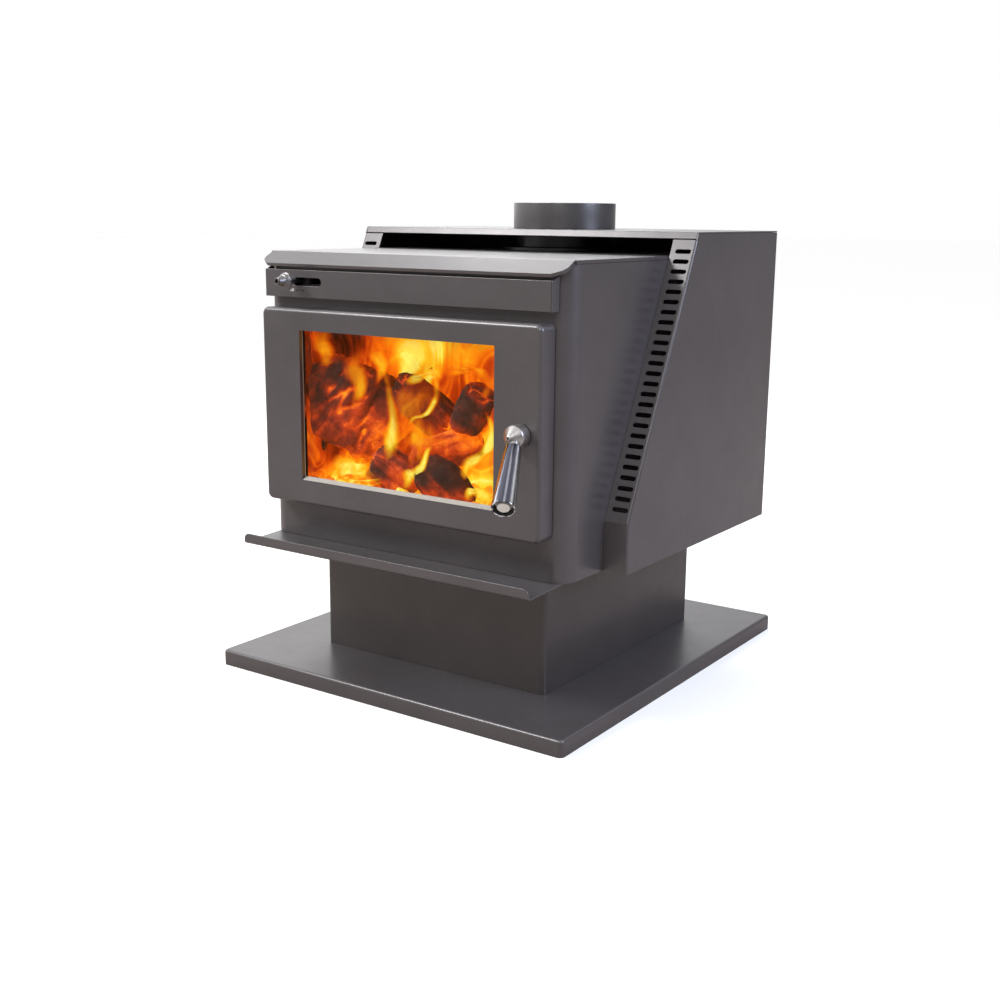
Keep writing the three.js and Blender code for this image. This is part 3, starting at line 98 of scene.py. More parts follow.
# ------------------------------------------------------------------ materials
class Look:
    """A material under construction: one Principled shader and the nodes that feed it."""

    def __init__(self, name, colour, roughness, metallic=0.0):
        self.material = bpy.data.materials.new(name)
        self.material.use_nodes = True
        self.tree = self.material.node_tree
        self.tree.nodes.clear()
        self.shader = self.tree.nodes.new("ShaderNodeBsdfPrincipled")
        output = self.tree.nodes.new("ShaderNodeOutputMaterial")
        self.tree.links.new(self.shader.outputs["BSDF"], output.inputs["Surface"])
        self.set("Base Color", (*colour, 1))
        self.set("Roughness", roughness)
        self.set("Metallic", metallic)
        self.place = self.tree.nodes.new("ShaderNodeTexCoord").outputs["Object"]

    def set(self, socket, value):
        """Gives one of the shader's sockets a value, or another node's output."""
        target = self.shader.inputs[socket]
        if isinstance(value, bpy.types.NodeSocket):
            self.tree.links.new(value, target)
        else:
            target.default_value = value

    def node(self, kind, inputs=(), **settings):
        """A new node: inputs are (name or index, value or socket) pairs."""
        made = self.tree.nodes.new("ShaderNode" + kind)
        for key, value in settings.items():
            setattr(made, key, value)
        for key, value in inputs:
            if isinstance(value, bpy.types.NodeSocket):
                self.tree.links.new(value, made.inputs[key])
            else:
                made.inputs[key].default_value = value
        return made

    def stretched(self, scale, rotation=(0, 0, 0)):
        """The object's own coordinates, stretched by a factor on each axis."""
        inputs = [("Vector", self.place), ("Scale", scale), ("Rotation", rotation)]
        return self.node("Mapping", inputs).outputs["Vector"]

    def noise(self, scale, detail=3.0, rough=0.5, where=None, distortion=0.0):
        inputs = [
            ("Vector", where or self.place),
            ("Scale", scale),
            ("Detail", detail),
            ("Roughness", rough),
            ("Distortion", distortion),
        ]
        return self.node("TexNoise", inputs).outputs["Fac"]

    def ramp(self, value, stops):
        """A colour ramp from (position, colour or grey) stops."""
        made = self.node("ValToRGB", [("Fac", value)])
        band = made.color_ramp.elements
        while len(band) < len(stops):
            band.new(1.0)
        for element, (position, colour) in zip(band, stops):
            element.position = position
            tint = colour if isinstance(colour, tuple) else (colour,) * 3
            element.color = (*tint, 1)
        return made.outputs["Color"]

    def math(self, operation, a, b, clamp=False):
        made = self.node("Math", [(0, a), (1, b)], operation=operation, use_clamp=clamp)
        return made.outputs["Value"]

    def span(self, value, low, high, out_low=0.0, out_high=1.0):
        """A value mapped from one range to another."""
        inputs = [
            ("Value", value),
            ("From Min", low),
            ("From Max", high),
            ("To Min", out_low),
            ("To Max", out_high),
        ]
        return self.node("MapRange", inputs).outputs["Result"]

    def mixed(self, share, a, b):
        inputs = [("Factor", share), ("A", a), ("B", b)]
        made = self.node("Mix", data_type="RGBA")
        for key, value in inputs:
            index = {"Factor": 0, "A": 6, "B": 7}[key]
            if isinstance(value, bpy.types.NodeSocket):
                self.tree.links.new(value, made.inputs[index])
            elif index:
                made.inputs[index].default_value = (*value, 1)
            else:
                made.inputs[index].default_value = value
        return made.outputs[2]

    def bump(self, height, strength, distance):
        inputs = [("Height", height), ("Strength", strength), ("Distance", distance)]
        self.set("Normal", self.node("Bump", inputs).outputs["Normal"])


def paint(name, colour, roughness, metallic):
    """Satin heat-proof paint with a metallic fleck: fine grain, and slight uneven patches."""
    look = Look(name, colour, roughness, metallic)
    patches = look.span(look.noise(9, 4, 0.6), 0.3, 0.7)
    fleck = look.noise(1900, 2, 0.7)
    pale = tuple(c * 1.12 for c in colour)
    deep = tuple(c * 0.9 for c in colour)
    body = look.mixed(patches, deep, pale)
    bright = tuple(min(1.0, c * 1.9) for c in colour)
    look.set("Base Color", look.mixed(look.span(fleck, 0.56, 0.74), body, bright))
    look.set("Roughness", look.span(look.noise(30, 5, 0.6), 0.25, 0.75, roughness - 0.04, roughness + 0.05))
    look.bump(look.noise(1300, 3, 0.6), 0.12, 0.0002)
    look.set("Coat Weight", 0.5)
    look.set("Coat Roughness", 0.24)
    return look.material


def steel(name, colour, roughness, streaks, bump=0.1):
    """Bare steel with fine lines left by rolling or turning."""
    look = Look(name, colour, roughness, 1.0)
    lines = look.noise(120, 4, 0.6, look.stretched(streaks))
    look.set("Roughness", look.span(lines, 0.3, 0.7, roughness - 0.06, roughness + 0.08))
    deep = tuple(c * 0.82 for c in colour)
    look.set("Base Color", look.mixed(look.span(lines, 0.3, 0.7), deep, colour))
    look.bump(lines, bump, 0.0001)
    return look.material


def chrome():
    """Polished chrome whose base colour carries painted reflections: dark and bright bands round the axis,
    with slight smears.
    """
    look = Look("chrome", (0.55, 0.56, 0.60), 0.1, 1.0)
    smears_and_reflection = look.noise(45, 5, 0.65)
    # Painted reflections: bands round the axis pick dark and bright base colours.
    reflection_streak = look.node("Attribute", attribute_name="reflection_streak").outputs["Fac"]
    value = look.math("ADD", reflection_streak, look.span(smears_and_reflection, 0.3, 0.7, -0.05, 0.05))
    stops = [
        (0.30, (0.10, 0.10, 0.135)),
        (0.44, (0.42, 0.43, 0.49)),
        (0.52, (0.20, 0.20, 0.24)),
        (0.66, (0.85, 0.86, 0.90)),
    ]
    look.set("Base Color", look.ramp(look.span(value, -0.5, 0.5), stops))
    look.set("Roughness", look.span(smears_and_reflection, 0.35, 0.75, 0.08, 0.18))
    return look.material


def window_glass():
    """Clear ceramic glass with a trace of smoke towards its edges."""
    look = Look("ceramic_glass", (0.10, 0.06, 0.03), 0.04)
    low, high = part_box("door_glass")
    centre = (low + high) / 2
    half = (high - low) / 2
    parts = look.node("SeparateXYZ", [("Vector", look.place)])
    edges = []
    for axis, output in ((0, "X"), (2, "Z")):
        away = look.math("ABSOLUTE", look.math("SUBTRACT", parts.outputs[output], centre[axis]), 0.0)
        edges.append(look.math("DIVIDE", away, half[axis]))
    edge = look.math("MAXIMUM", *edges)
    smoke = look.math("MULTIPLY", look.span(edge, 0.86, 1.0), look.noise(40, 5, 0.7))
    look.set("Alpha", look.span(smoke, 0.0, 0.7, 0.02, 0.22))
    look.set("IOR", 1.53)
    return look.material


def woven(name, colour, pitch):
    """Glass fibre rope or tape: diagonal strands and loose fibres."""
    look = Look(name, colour, 0.95)
    strands = []
    for slant in (0.9, -0.9):
        turned = look.stretched((1, 1, 1), (0, slant, 0))
        inputs = [("Vector", turned), ("Scale", 1 / pitch), ("Distortion", 1.2), ("Detail", 2.0)]
        strands.append(look.node("TexWave", inputs, bands_direction="X").outputs["Fac"])
    weave = look.math("MAXIMUM", *strands)
    fibres = look.noise(900, 4, 0.7)
    height = look.math("ADD", weave, look.math("MULTIPLY", fibres, 0.5))
    deep = tuple(c * 0.5 for c in colour)
    look.set("Base Color", look.mixed(look.span(height, 0.3, 1.2), deep, colour))
    look.bump(height, 0.8, 0.0006)
    return look.material


def firebrick():
    """Pale vermiculite brick, coarse, and sooty in patches."""
    look = Look("firebrick", (0.52, 0.38, 0.24), 0.95)
    grain = look.noise(420, 5, 0.7)
    soot = look.span(look.noise(11, 6, 0.65), 0.42, 0.68)
    clean = look.mixed(look.span(grain, 0.3, 0.7), (0.40, 0.27, 0.16), (0.62, 0.47, 0.31))
    look.set("Base Color", look.mixed(soot, clean, (0.035, 0.03, 0.028)))
    look.bump(grain, 0.5, 0.0008)
    return look.material


def insulating_board():
    look = Look("insulating_board", (0.6, 0.58, 0.54), 0.95)
    grain = look.noise(260, 4, 0.7)
    look.set("Base Color", look.mixed(grain, (0.5, 0.48, 0.45), (0.68, 0.66, 0.62)))
    look.bump(grain, 0.4, 0.0006)
    return look.material


HEAT = [
    (0.0, (0.010, 0.003, 0.001)),
    (0.16, (0.045, 0.007, 0.001)),
    (0.32, (0.20, 0.016, 0.001)),
    (0.46, (0.55, 0.045, 0.002)),
    (0.60, (0.93, 0.155, 0.002)),
    (0.76, (1.0, 0.37, 0.006)),
    (0.90, (1.0, 0.65, 0.025)),
    (1.0, (1.0, 0.86, 0.13)),
]


def glowing(name):
    """Burning wood: black char and ash over the glow that the mesh's warmth attribute gives."""
    look = Look(name, (0.02, 0.012, 0.01), 0.9)
    heat = look.node("Attribute", attribute_name="warmth").outputs["Fac"]
    broad = look.span(look.noise(38, 4, 0.6, distortion=0.6), 0.3, 0.7, -0.08, 0.08)
    grain = look.span(look.noise(210, 4, 0.7), 0.3, 0.7, -0.05, 0.05)
    value = look.math("ADD", look.math("ADD", heat, broad), grain, True)
    look.set("Emission Color", look.ramp(value, HEAT))
    look.set("Emission Strength", 1.1)
    ash = look.span(look.noise(60, 5, 0.7), 0.55, 0.75)
    look.set("Base Color", look.mixed(ash, (0.018, 0.006, 0.003), (0.045, 0.02, 0.012)))
    look.bump(look.math("ADD", grain, broad), 0.8, 0.003)
    look.material.cycles.emission_sampling = "NONE"
    return look.material


def flame(name, core_heat, opacity=1.0):
    """Flame. core_heat gives the heat at a lick's edge and core, and opacity how solid its core is;
    without them the mesh's own warmth attribute sets the colour of a solid sheet."""
    look = Look(name, (0.0, 0.0, 0.0), 1.0)
    wisps = look.noise(26, 3, 0.5, look.stretched((1.0, 1.0, 0.45)), 1.6)
    if core_heat:
        core = look.node("Attribute", attribute_name="core").outputs["Fac"]
        low, high = core_heat
        waver = look.span(wisps, 0.3, 0.7, -0.16, 0.16)
        heat = look.math("ADD", look.span(core, 0.0, 0.9, low, high), waver, True)
        veil = look.span(wisps, 0.34, 0.62, 0.25, 1.0)
        solid = look.math("MULTIPLY", look.span(core, 0.0, 0.85, 0.0, opacity), veil, True)
        look.set("Alpha", solid)
    else:
        own = look.node("Attribute", attribute_name="warmth").outputs["Fac"]
        heat = look.math("ADD", own, look.span(wisps, 0.3, 0.7, -0.05, 0.05), True)
    look.set("Emission Color", look.ramp(heat, HEAT))
    look.set("Emission Strength", 1.1)
    look.set("Specular IOR Level", 0.0)
    look.material.cycles.emission_sampling = "NONE"
    return look.material


CHARCOAL = paint("charcoal_paint", (0.079, 0.071, 0.075), 0.38, 0.35)
# A darker copy of the charcoal paint: painted shade on the plinth below the ash lip.
PLINTH_SHADE = paint("plinth_shade_paint", (0.062, 0.053, 0.053), 0.42, 0.4)
DARK = paint("dark_paint", (0.030, 0.028, 0.028), 0.5, 0.3)
# Black paint used as painted shade: on the hinge brackets in the dark gap beside the door, and in the
# grip's bore.
SHADE_BLACK = paint("black_paint", (0.012, 0.012, 0.012), 0.6, 0.1)
BARE = steel("bare_steel", (0.42, 0.41, 0.40), 0.38, (1, 1, 18))
SATIN = steel("satin_steel", (0.52, 0.50, 0.495), 0.33, (8, 8, 8))
TURNED = steel("turned_steel", (0.24, 0.23, 0.235), 0.34, (8, 8, 8))
CHROME = chrome()
GLASS = window_glass()
TAPE = woven("glass_fibre_tape", (0.58, 0.56, 0.52), 0.0028)
ROPE = woven("glass_fibre_rope", (0.55, 0.52, 0.47), 0.005)
BRICK = firebrick()
BOARD = insulating_board()

for piece_node in frame["nodes"].values():
    piece_node.data.materials.clear()


def dress(material, *nodes):
    """Gives CAD nodes that stay on show their finish."""
    for name in nodes:
        frame["nodes"][name].data.materials.append(material)


dress(
    BARE,
    *(f"plinth_bolt_{i}" for i in (1, 2, 3, 4)),
    *(f"glass_screw_{i}" for i in (1, 2, 3, 4)),
    "glass_clamp_bottom",
    "glass_clamp_top",
    "latch_keeper",
    "latch_cam",
    "baffle_rail_left",
    "baffle_rail_right",
    "shield_standoff_left",
    "shield_standoff_right",
)
dress(BRICK, "floor_brick_1", "floor_brick_2", "floor_brick_3")
dress(BRICK, "side_brick_left", "side_brick_right", "back_brick", "baffle_plate")
dress(BOARD, "hearth_board")
# The air slide's dark paint is painted shade: it keeps the air slot dark.
dress(DARK, "airwash_box", "air_slide")
dress(GLASS, "door_glass")
dress(ROPE, "glass_gasket")


# ------------------------------------------------------------- mesh building
def place(name, mesh, material, body, slot, *nodes):
    """Puts a finished mesh in the scene as a piece that rides on a body and stands for CAD nodes."""
    mesh.materials.clear()
    mesh.materials.append(material)
    obj = bpy.data.objects.new(name, mesh)
    bpy.context.scene.collection.objects.link(obj)
    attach(obj, body)
    if nodes:
        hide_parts(*nodes)
    return obj


def finished(bm, name, bevel=0.0, segments=3, limit=35.0, thickness=0.0, smooth=40.0):
    """The mesh of a bmesh, with its sharp edges rounded and smooth normals."""
    bmesh.ops.recalc_face_normals(bm, faces=bm.faces)
    mesh = bpy.data.meshes.new(name)
    bm.to_mesh(mesh)
    bm.free()
    mesh.shade_smooth()
    mesh.set_sharp_from_angle(angle=math.radians(smooth))
    obj = bpy.data.objects.new(name, mesh)
    bpy.context.scene.collection.objects.link(obj)
    if thickness:
        solid = obj.modifiers.new("sheet", "SOLIDIFY")
        solid.thickness = thickness
        solid.offset = -1
    if bevel:
        rounding = obj.modifiers.new("rounding", "BEVEL")
        rounding.width = bevel
        rounding.segments = segments
        rounding.limit_method = "ANGLE"
        rounding.angle_limit = math.radians(limit)
        rounding.miter_outer = "MITER_ARC"
        weights = obj.modifiers.new("weights", "WEIGHTED_NORMAL")
        weights.keep_sharp = True
    bpy.context.view_layer.update()
    final = bpy.data.meshes.new_from_object(obj.evaluated_get(bpy.context.evaluated_depsgraph_get()))
    final.name = name
    bpy.data.objects.remove(obj)
    return final


def from_node(node):
    """A bmesh of a CAD node, its flat faces whole again."""
    bm = bmesh.new()
    bm.from_mesh(frame["nodes"][node].data)
    bmesh.ops.remove_doubles(bm, verts=bm.verts, dist=2e-6)
    bmesh.ops.dissolve_limit(
        bm,
        angle_limit=math.radians(0.4),
        use_dissolve_boundaries=False,
        verts=bm.verts,
        edges=bm.edges,
    )
    return bm


def rounded_node(node, material, slot, bevel, segments=3, limit=35.0, smooth=40.0):
    """A CAD node with its edges rounded, as a piece that replaces it."""
    body = frame["nodes"][node]["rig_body"]
    mesh = finished(from_node(node), node + "_finish", bevel, segments, limit, smooth=smooth)
    return place(node + "_finish", mesh, material, body, slot, node)


def arc_points(centre, radius, start, end, count):
    """Points along an arc, its angles in degrees."""
    turns = (math.radians(start + (end - start) * i / count) for i in range(count + 1))
    return [(centre[0] + radius * math.cos(t), centre[1] + radius * math.sin(t)) for t in turns]


def softened(profile, radius, steps=4):
    """An open profile with each inner corner replaced by a short arc-like curve."""
    points = [Vector(p) for p in profile]
    out = [points[0]]
    for before, corner, after in zip(points, points[1:], points[2:]):
        back, forth = before - corner, after - corner
        reach = min(radius, back.length * 0.45, forth.length * 0.45)
        start = corner + back.normalized() * reach
        end = corner + forth.normalized() * reach
        for i in range(steps + 1):
            t = i / steps
            out.append(start * (1 - t) ** 2 + corner * 2 * t * (1 - t) + end * t * t)
    out.append(points[-1])
    return out


def lathe(profile, origin, axis, sides=96):
    """A bmesh turned from a profile of (radius, distance along the axis) pairs in metres.
    Its reflection_streak attribute, the painted reflection bands of chrome, varies round the axis and stays
    the same along it."""
    along = Vector(axis).normalized()
    side = along.orthogonal().normalized()
    other = along.cross(side)
    bm = bmesh.new()
    reflection_streak = bm.verts.layers.float.new("reflection_streak")
    rings = []
    for radius, distance in profile:
        base = Vector(origin) + along * distance
        if radius < 1e-7:
            rings.append([bm.verts.new(base)])
            continue
        ring = []
        for i in range(sides):
            turn = 2 * math.pi * i / sides
            vert = bm.verts.new(base + (side * math.cos(turn) + other * math.sin(turn)) * radius)
            # Painted reflection bands for chrome, varying round the axis.
            vert[reflection_streak] = noise.noise(Vector((math.cos(turn), math.sin(turn), 0)) * 2.3)
            ring.append(vert)
        rings.append(ring)
    for a, b in zip(rings, rings[1:]):
        for i in range(sides):
            j = (i + 1) % sides
            if len(a) == 1 and len(b) == 1:
                break
            if len(a) == 1:
                bm.faces.new((a[0], b[j], b[i]))
            elif len(b) == 1:
                bm.faces.new((a[i], a[j], b[0]))
            else:
                bm.faces.new((a[i], a[j], b[j], b[i]))
    return bm


# ------------------------------------------------- sheet steel, straight from CAD
def sheet_steel():
    """The folded and welded steel: rounded edges on the CAD shapes."""
    rounded_node("hearth_tray", CHARCOAL, "charcoal_paint", 0.4 * MM, 2, 60)
    rounded_node("plinth", PLINTH_SHADE, "dark_paint", 0.5 * MM)
    rounded_node("firebox", CHARCOAL, "charcoal_paint", 0.8 * MM)
    rounded_node("top_plate", CHARCOAL, "charcoal_paint", 0.9 * MM, 4, 25)
    rounded_node("control_box", CHARCOAL, "charcoal_paint", 0.45 * MM)
    rounded_node("ash_lip", CHARCOAL, "charcoal_paint", 0.7 * MM)
    rounded_node("shield_back", CHARCOAL, "charcoal_paint", 0.5 * MM)
    rounded_node("shield_top", CHARCOAL, "charcoal_paint", 0.6 * MM, 3, 25)
    rounded_node("door_skin", CHARCOAL, "charcoal_paint", 0.6 * MM, 3, 40)
    rounded_node("door_liner", DARK, "dark_paint", 0.3 * MM, 2, 40)
    # The hinge brackets' black is painted shade, for the dark gap beside the door.
    rounded_node("hinge_bracket_top", SHADE_BLACK, "charcoal_paint", 0.4 * MM)
    rounded_node("hinge_bracket_bottom", SHADE_BLACK, "charcoal_paint", 0.4 * MM)
    rounded_node("hinge_pin_top", BARE, "bare_steel", 0.4 * MM, 2, 50)
    rounded_node("hinge_pin_bottom", BARE, "bare_steel", 0.4 * MM, 2, 50)
    rounded_node("window_sill_tape", TAPE, "glass_fibre_rope", 0.25 * MM, 2)
    rounded_node("door_rope_seal", ROPE, "glass_fibre_rope", 2.4 * MM, 4)
    rounded_node("flue_spigot", DARK, "dark_paint", 0.8 * MM, 3, 50)
    rounded_node("air_rod", TURNED, "bare_steel", 0.5 * MM, 2, 50)
    rounded_node("latch_bush", BARE, "bare_steel", 0.3 * MM, 2, 50)
    rounded_node("latch_shaft", BARE, "bare_steel", 0.4 * MM, 2, 50)


# ------------------------------------------------------- slotted shield sides
SHIELD_SHEET = 2.0 * MM
SHIELD_BEND = 3.2 * MM  # outer radius between the side and its flange
SHIELD_KNEE_Z = 280.3 * MM
SHIELD_TOP_Z = 670.9 * MM
SHIELD_LEAN = 181.7 * MM
FLANGE_SHORT = 12.1 * MM  # from the flange's top end to the slope's top
SLOT_COUNT = 26
SLOT_LENGTH = 25 * MM
SLOT_HEIGHT = 6.8 * MM
FIRST_SLOT = 18.7 * MM
LAST_SLOT = 30 * MM  # from the slope's top
SLOT_OUTWARD = 0.9 * MM


def slot_loop(u, v, sign):
    """A slot's outline with round ends, in the flange's plane."""
    radius = SLOT_HEIGHT / 2
    reach = SLOT_LENGTH / 2 - radius
    loop = arc_points((u + reach, v), radius, -90, 90, 8) + arc_points((u - reach, v), radius, 90, 270, 8)
    return loop if sign > 0 else loop[::-1]


def filled(bm, loops, to_space):
    """Faces for an outline with holes, given as loops of (u, v) pairs."""
    flat = [[Vector((u, v, 0)) for u, v in loop] for loop in loops]
    verts = [bm.verts.new(to_space(u, v)) for loop in loops for u, v in loop]
    for triangle in geometry.tessellate_polygon(flat):
        bm.faces.new([verts[i] for i in triangle])


def shield_side(side, node):
    """One side of the shield as a folded sheet: panel, bend and slotted flange."""
    low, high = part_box(node)
    outer = max(abs(low.x), abs(high.x))
    inner = min(abs(low.x), abs(high.x))
    front, back, bottom, top = low.y, high.y, low.z, high.z
    rise = SHIELD_TOP_Z - SHIELD_KNEE_Z
    length = math.hypot(rise, SHIELD_LEAN)
    along = Vector((SHIELD_LEAN / length, rise / length))
    inward = Vector((along.y, -along.x))
    knee = Vector((front, SHIELD_KNEE_Z))
    mitre = (Vector((1, 0)) + inward) / (1 + inward.x)
    flange_end = length - FLANGE_SHORT
    bm = bmesh.new()

    def slope(v, inset):
        """A point of the sloping edge in the Y, Z plane, set inwards."""
        return knee + along * v + inward * inset

    def at(x, point):
        return Vector((side * x, point[0], point[1]))

    # The panel, whose edge above the flange comes out to the sheet's corner.
    top_v = (top - knee.y) / along.y
    panel = [
        (front + SHIELD_BEND, bottom),
        (back, bottom),
        (back, top),
        tuple(slope(top_v, 0)),
        tuple(slope(flange_end, 0)),
        tuple(slope(flange_end, SHIELD_BEND)),
        tuple(knee + mitre * SHIELD_BEND),
    ]
    filled(bm, [panel], lambda y, z: at(outer, (y, z)))
    # The bend, swept up the front edge and on along the slope.
    steps = 6
    rows = []
    for i in range(steps + 1):
        turn = math.pi / 2 * i / steps
        inset = SHIELD_BEND * (1 - math.cos(turn))
        x = outer - SHIELD_BEND * (1 - math.sin(turn))
        path = [Vector((front + inset, bottom)), knee + mitre * inset, slope(flange_end, inset)]
        rows.append([bm.verts.new(at(x, p)) for p in path])
    for a, b in zip(rows, rows[1:]):
        for i in range(2):
            bm.faces.new((a[i], a[i + 1], b[i + 1], b[i]))
    # The upright strip, and the sloping flange with its slots.
    bend_x = outer - SHIELD_BEND
    upright = [(inner, bottom), (bend_x, bottom), (bend_x, knee.y), (inner, knee.y)]
    filled(bm, [upright], lambda x, z: at(x, (front, z)))
    pitch = (length - LAST_SLOT - FIRST_SLOT) / (SLOT_COUNT - 1)
    middle = (inner + outer) / 2 + SLOT_OUTWARD
    between = [FIRST_SLOT + (i - 0.5) * pitch for i in range(SLOT_COUNT + 1)]
    levels = [0, *between, flange_end]
    for i, (low_v, high_v) in enumerate(zip(levels, levels[1:])):
        loops = [[(inner, low_v), (bend_x, low_v), (bend_x, high_v), (inner, high_v)]]
        if 0 < i <= SLOT_COUNT:
            loops.append(slot_loop(middle, FIRST_SLOT + (i - 1) * pitch, -1))
        filled(bm, loops, lambda x, v: at(x, slope(v, 0)))
    bmesh.ops.remove_doubles(bm, verts=bm.verts, dist=1e-6)
    bmesh.ops.recalc_face_normals(bm, faces=bm.faces)
    if sum(f.normal.x * side * f.calc_area() for f in bm.faces) < 0:
        bmesh.ops.reverse_faces(bm, faces=bm.faces)
    solid = sheet_solid(bm, node + "_finish")
    place(node + "_finish", solid, CHARCOAL, "stove", "charcoal_paint", node)


def sheet_solid(bm, name):
    """An open surface given the shield's thickness on its inner side."""
    mesh = bpy.data.meshes.new(name)
    bm.to_mesh(mesh)
    bm.free()
    obj = bpy.data.objects.new(name, mesh)
    bpy.context.scene.collection.objects.link(obj)
    solid = obj.modifiers.new("sheet", "SOLIDIFY")
    solid.thickness = SHIELD_SHEET
    solid.offset = -1
    solid.use_even_offset = True
    bpy.context.view_layer.update()
    final = bpy.data.meshes.new_from_object(obj.evaluated_get(bpy.context.evaluated_depsgraph_get()))
    final.name = name
    bpy.data.objects.remove(obj)
    final.shade_smooth()
    final.set_sharp_from_angle(angle=math.radians(20))
    return final


# -------------------------------------------------------------- turned pieces
SHAFT = Vector((215.7, 0, 412.4)) * MM
HANDLE_AXIS = Vector((0.35491, -0.72657, -0.58833))
NECK_START = 5.9 * MM
GRIP_NEAR = 21 * MM
GRIP_FAR = 124.6 * MM
GRIP_RADII = (10.9 * MM, 15.5 * MM)
NECK_RADIUS = 6.5 * MM
RIM = 2.2 * MM


def millimetres(pairs):
    return [(r * MM, d * MM) for r, d in pairs]


def handle():
    """Boss, neck, tapered grip and the plug in its end."""
    low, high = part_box("handle_boss")
    front, back = low.y, high.y
    boss = [(6.3 * MM, back), (15.6 * MM, back), (15.6 * MM, back - 16.2 * MM)]
    boss += [(14.9 * MM, back - 17.6 * MM), (3.4 * MM, front + 0.6 * MM), (2.0 * MM, front)]
    boss += [(1.9 * MM, front + 4 * MM), (0, front + 4 * MM)]
    closed = [(0, back), *boss]
    profile = [(p.x, -p.y) for p in softened(closed, 0.8 * MM)]
    bm = lathe(profile, (SHAFT.x, 0, SHAFT.z), (0, -1, 0))
    mesh = finished(bm, "handle_boss_finish", smooth=35)
    place("handle_boss_finish", mesh, SATIN, "latch_handle", "satin_steel", "handle_boss")

    root = Vector((SHAFT.x, -312.8 * MM, SHAFT.z))
    neck_end = GRIP_NEAR + 12 * MM
    neck = [(0, NECK_START), (NECK_RADIUS, NECK_START), (NECK_RADIUS, neck_end), (0, neck_end)]
    mesh = finished(lathe(softened(neck, 0.5 * MM), root, HANDLE_AXIS), "handle_neck_finish")
    place("handle_neck_finish", mesh, SATIN, "latch_handle", "satin_steel", "handle_neck")

    near, far = GRIP_RADII
    bore = NECK_RADIUS + 0.3 * MM
    grip = [
        (bore, GRIP_NEAR + 13 * MM),
        (bore, GRIP_NEAR),
        (near, GRIP_NEAR),
        (far, GRIP_FAR),
        (far - RIM, GRIP_FAR),
        (near + 0.3 * (far - near) - RIM, GRIP_NEAR + 15 * MM),
        (bore, GRIP_NEAR + 13 * MM),
    ]
    bm = lathe(softened(grip, 1.3 * MM, 6), root, HANDLE_AXIS, 128)
    mesh = finished(bm, "handle_grip_finish", smooth=50)
    place("handle_grip_finish", mesh, CHROME, "latch_handle", "chrome", "handle_grip")

    # A black sleeve lines the open end: painted shade inside the grip's bore.
    bore_shade = millimetres([(12.6, 116), (12.9, 116), (13.15, 123.8), (12.8, 123.8), (12.6, 116)])
    mesh = finished(lathe(bore_shade, root, HANDLE_AXIS), "grip_bore_shade")
    place("grip_bore_shade", mesh, SHADE_BLACK, "latch_handle", None)

    plug = millimetres([(0, 112), (12.2, 112), (12.2, 115.5), (8.6, 117), (8.2, 122.8), (0, 122.8)])
    mesh = finished(lathe(softened(plug, 0.6 * MM), root, HANDLE_AXIS), "grip_end_plug_finish")
    place("grip_end_plug_finish", mesh, PLUG, "latch_handle", "satin_steel", "grip_end_plug")


def air_knob():
    """The turned knob: neck, ringed disc, cone and small open tip."""
    low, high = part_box("air_knob")
    middle = (low + high) / 2
    profile = millimetres(
        [
            (0, 0),
            (4.7, 0),
            (4.7, 13.8),
            (9.4, 15.2),
            (10.9, 16.4),
            (10.2, 17.2),
            (11.9, 18.1),
            (11.9, 20),
            (10.0, 21.2),
            (10.9, 22),
            (9.2, 24.6),
            (7.7, 25.2),
            (8.4, 26.4),
            (4.4, 34),
            (5.3, 35.2),
            (5.3, 37),
            (2.9, 37),
            (2.9, 29),
            (0, 29),
        ]
    )
    curve = softened(profile, 0.35 * MM)
    origin = (middle.x, high.y, middle.z)
    bm = lathe(curve, origin, (0, -1, 0), 96)
    mesh = finished(bm, "air_knob_finish", smooth=50)
    place("air_knob_finish", mesh, TURNED, "air_control", "satin_steel", "air_knob")


def flue_collar():
    low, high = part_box("flue_collar")
    middle = (low + high) / 2
    outer = (high.x - low.x) / 2
    inner = outer - 2.9 * MM
    ring = [(inner, low.z), (outer, low.z), (outer, high.z), (inner, high.z), (inner, low.z)]
    bm = lathe(softened(ring, 0.7 * MM), (middle.x, middle.y, 0), (0, 0, 1), 128)
    mesh = finished(bm, "flue_collar_finish", smooth=50)
    place("flue_collar_finish", mesh, COLLAR, "stove", "charcoal_paint", "flue_collar")


PLUG = paint("plug_cap", (0.86, 0.85, 0.80), 0.5, 0.0)
COLLAR = paint("collar_paint", (0.10, 0.094, 0.096), 0.33, 0.55)


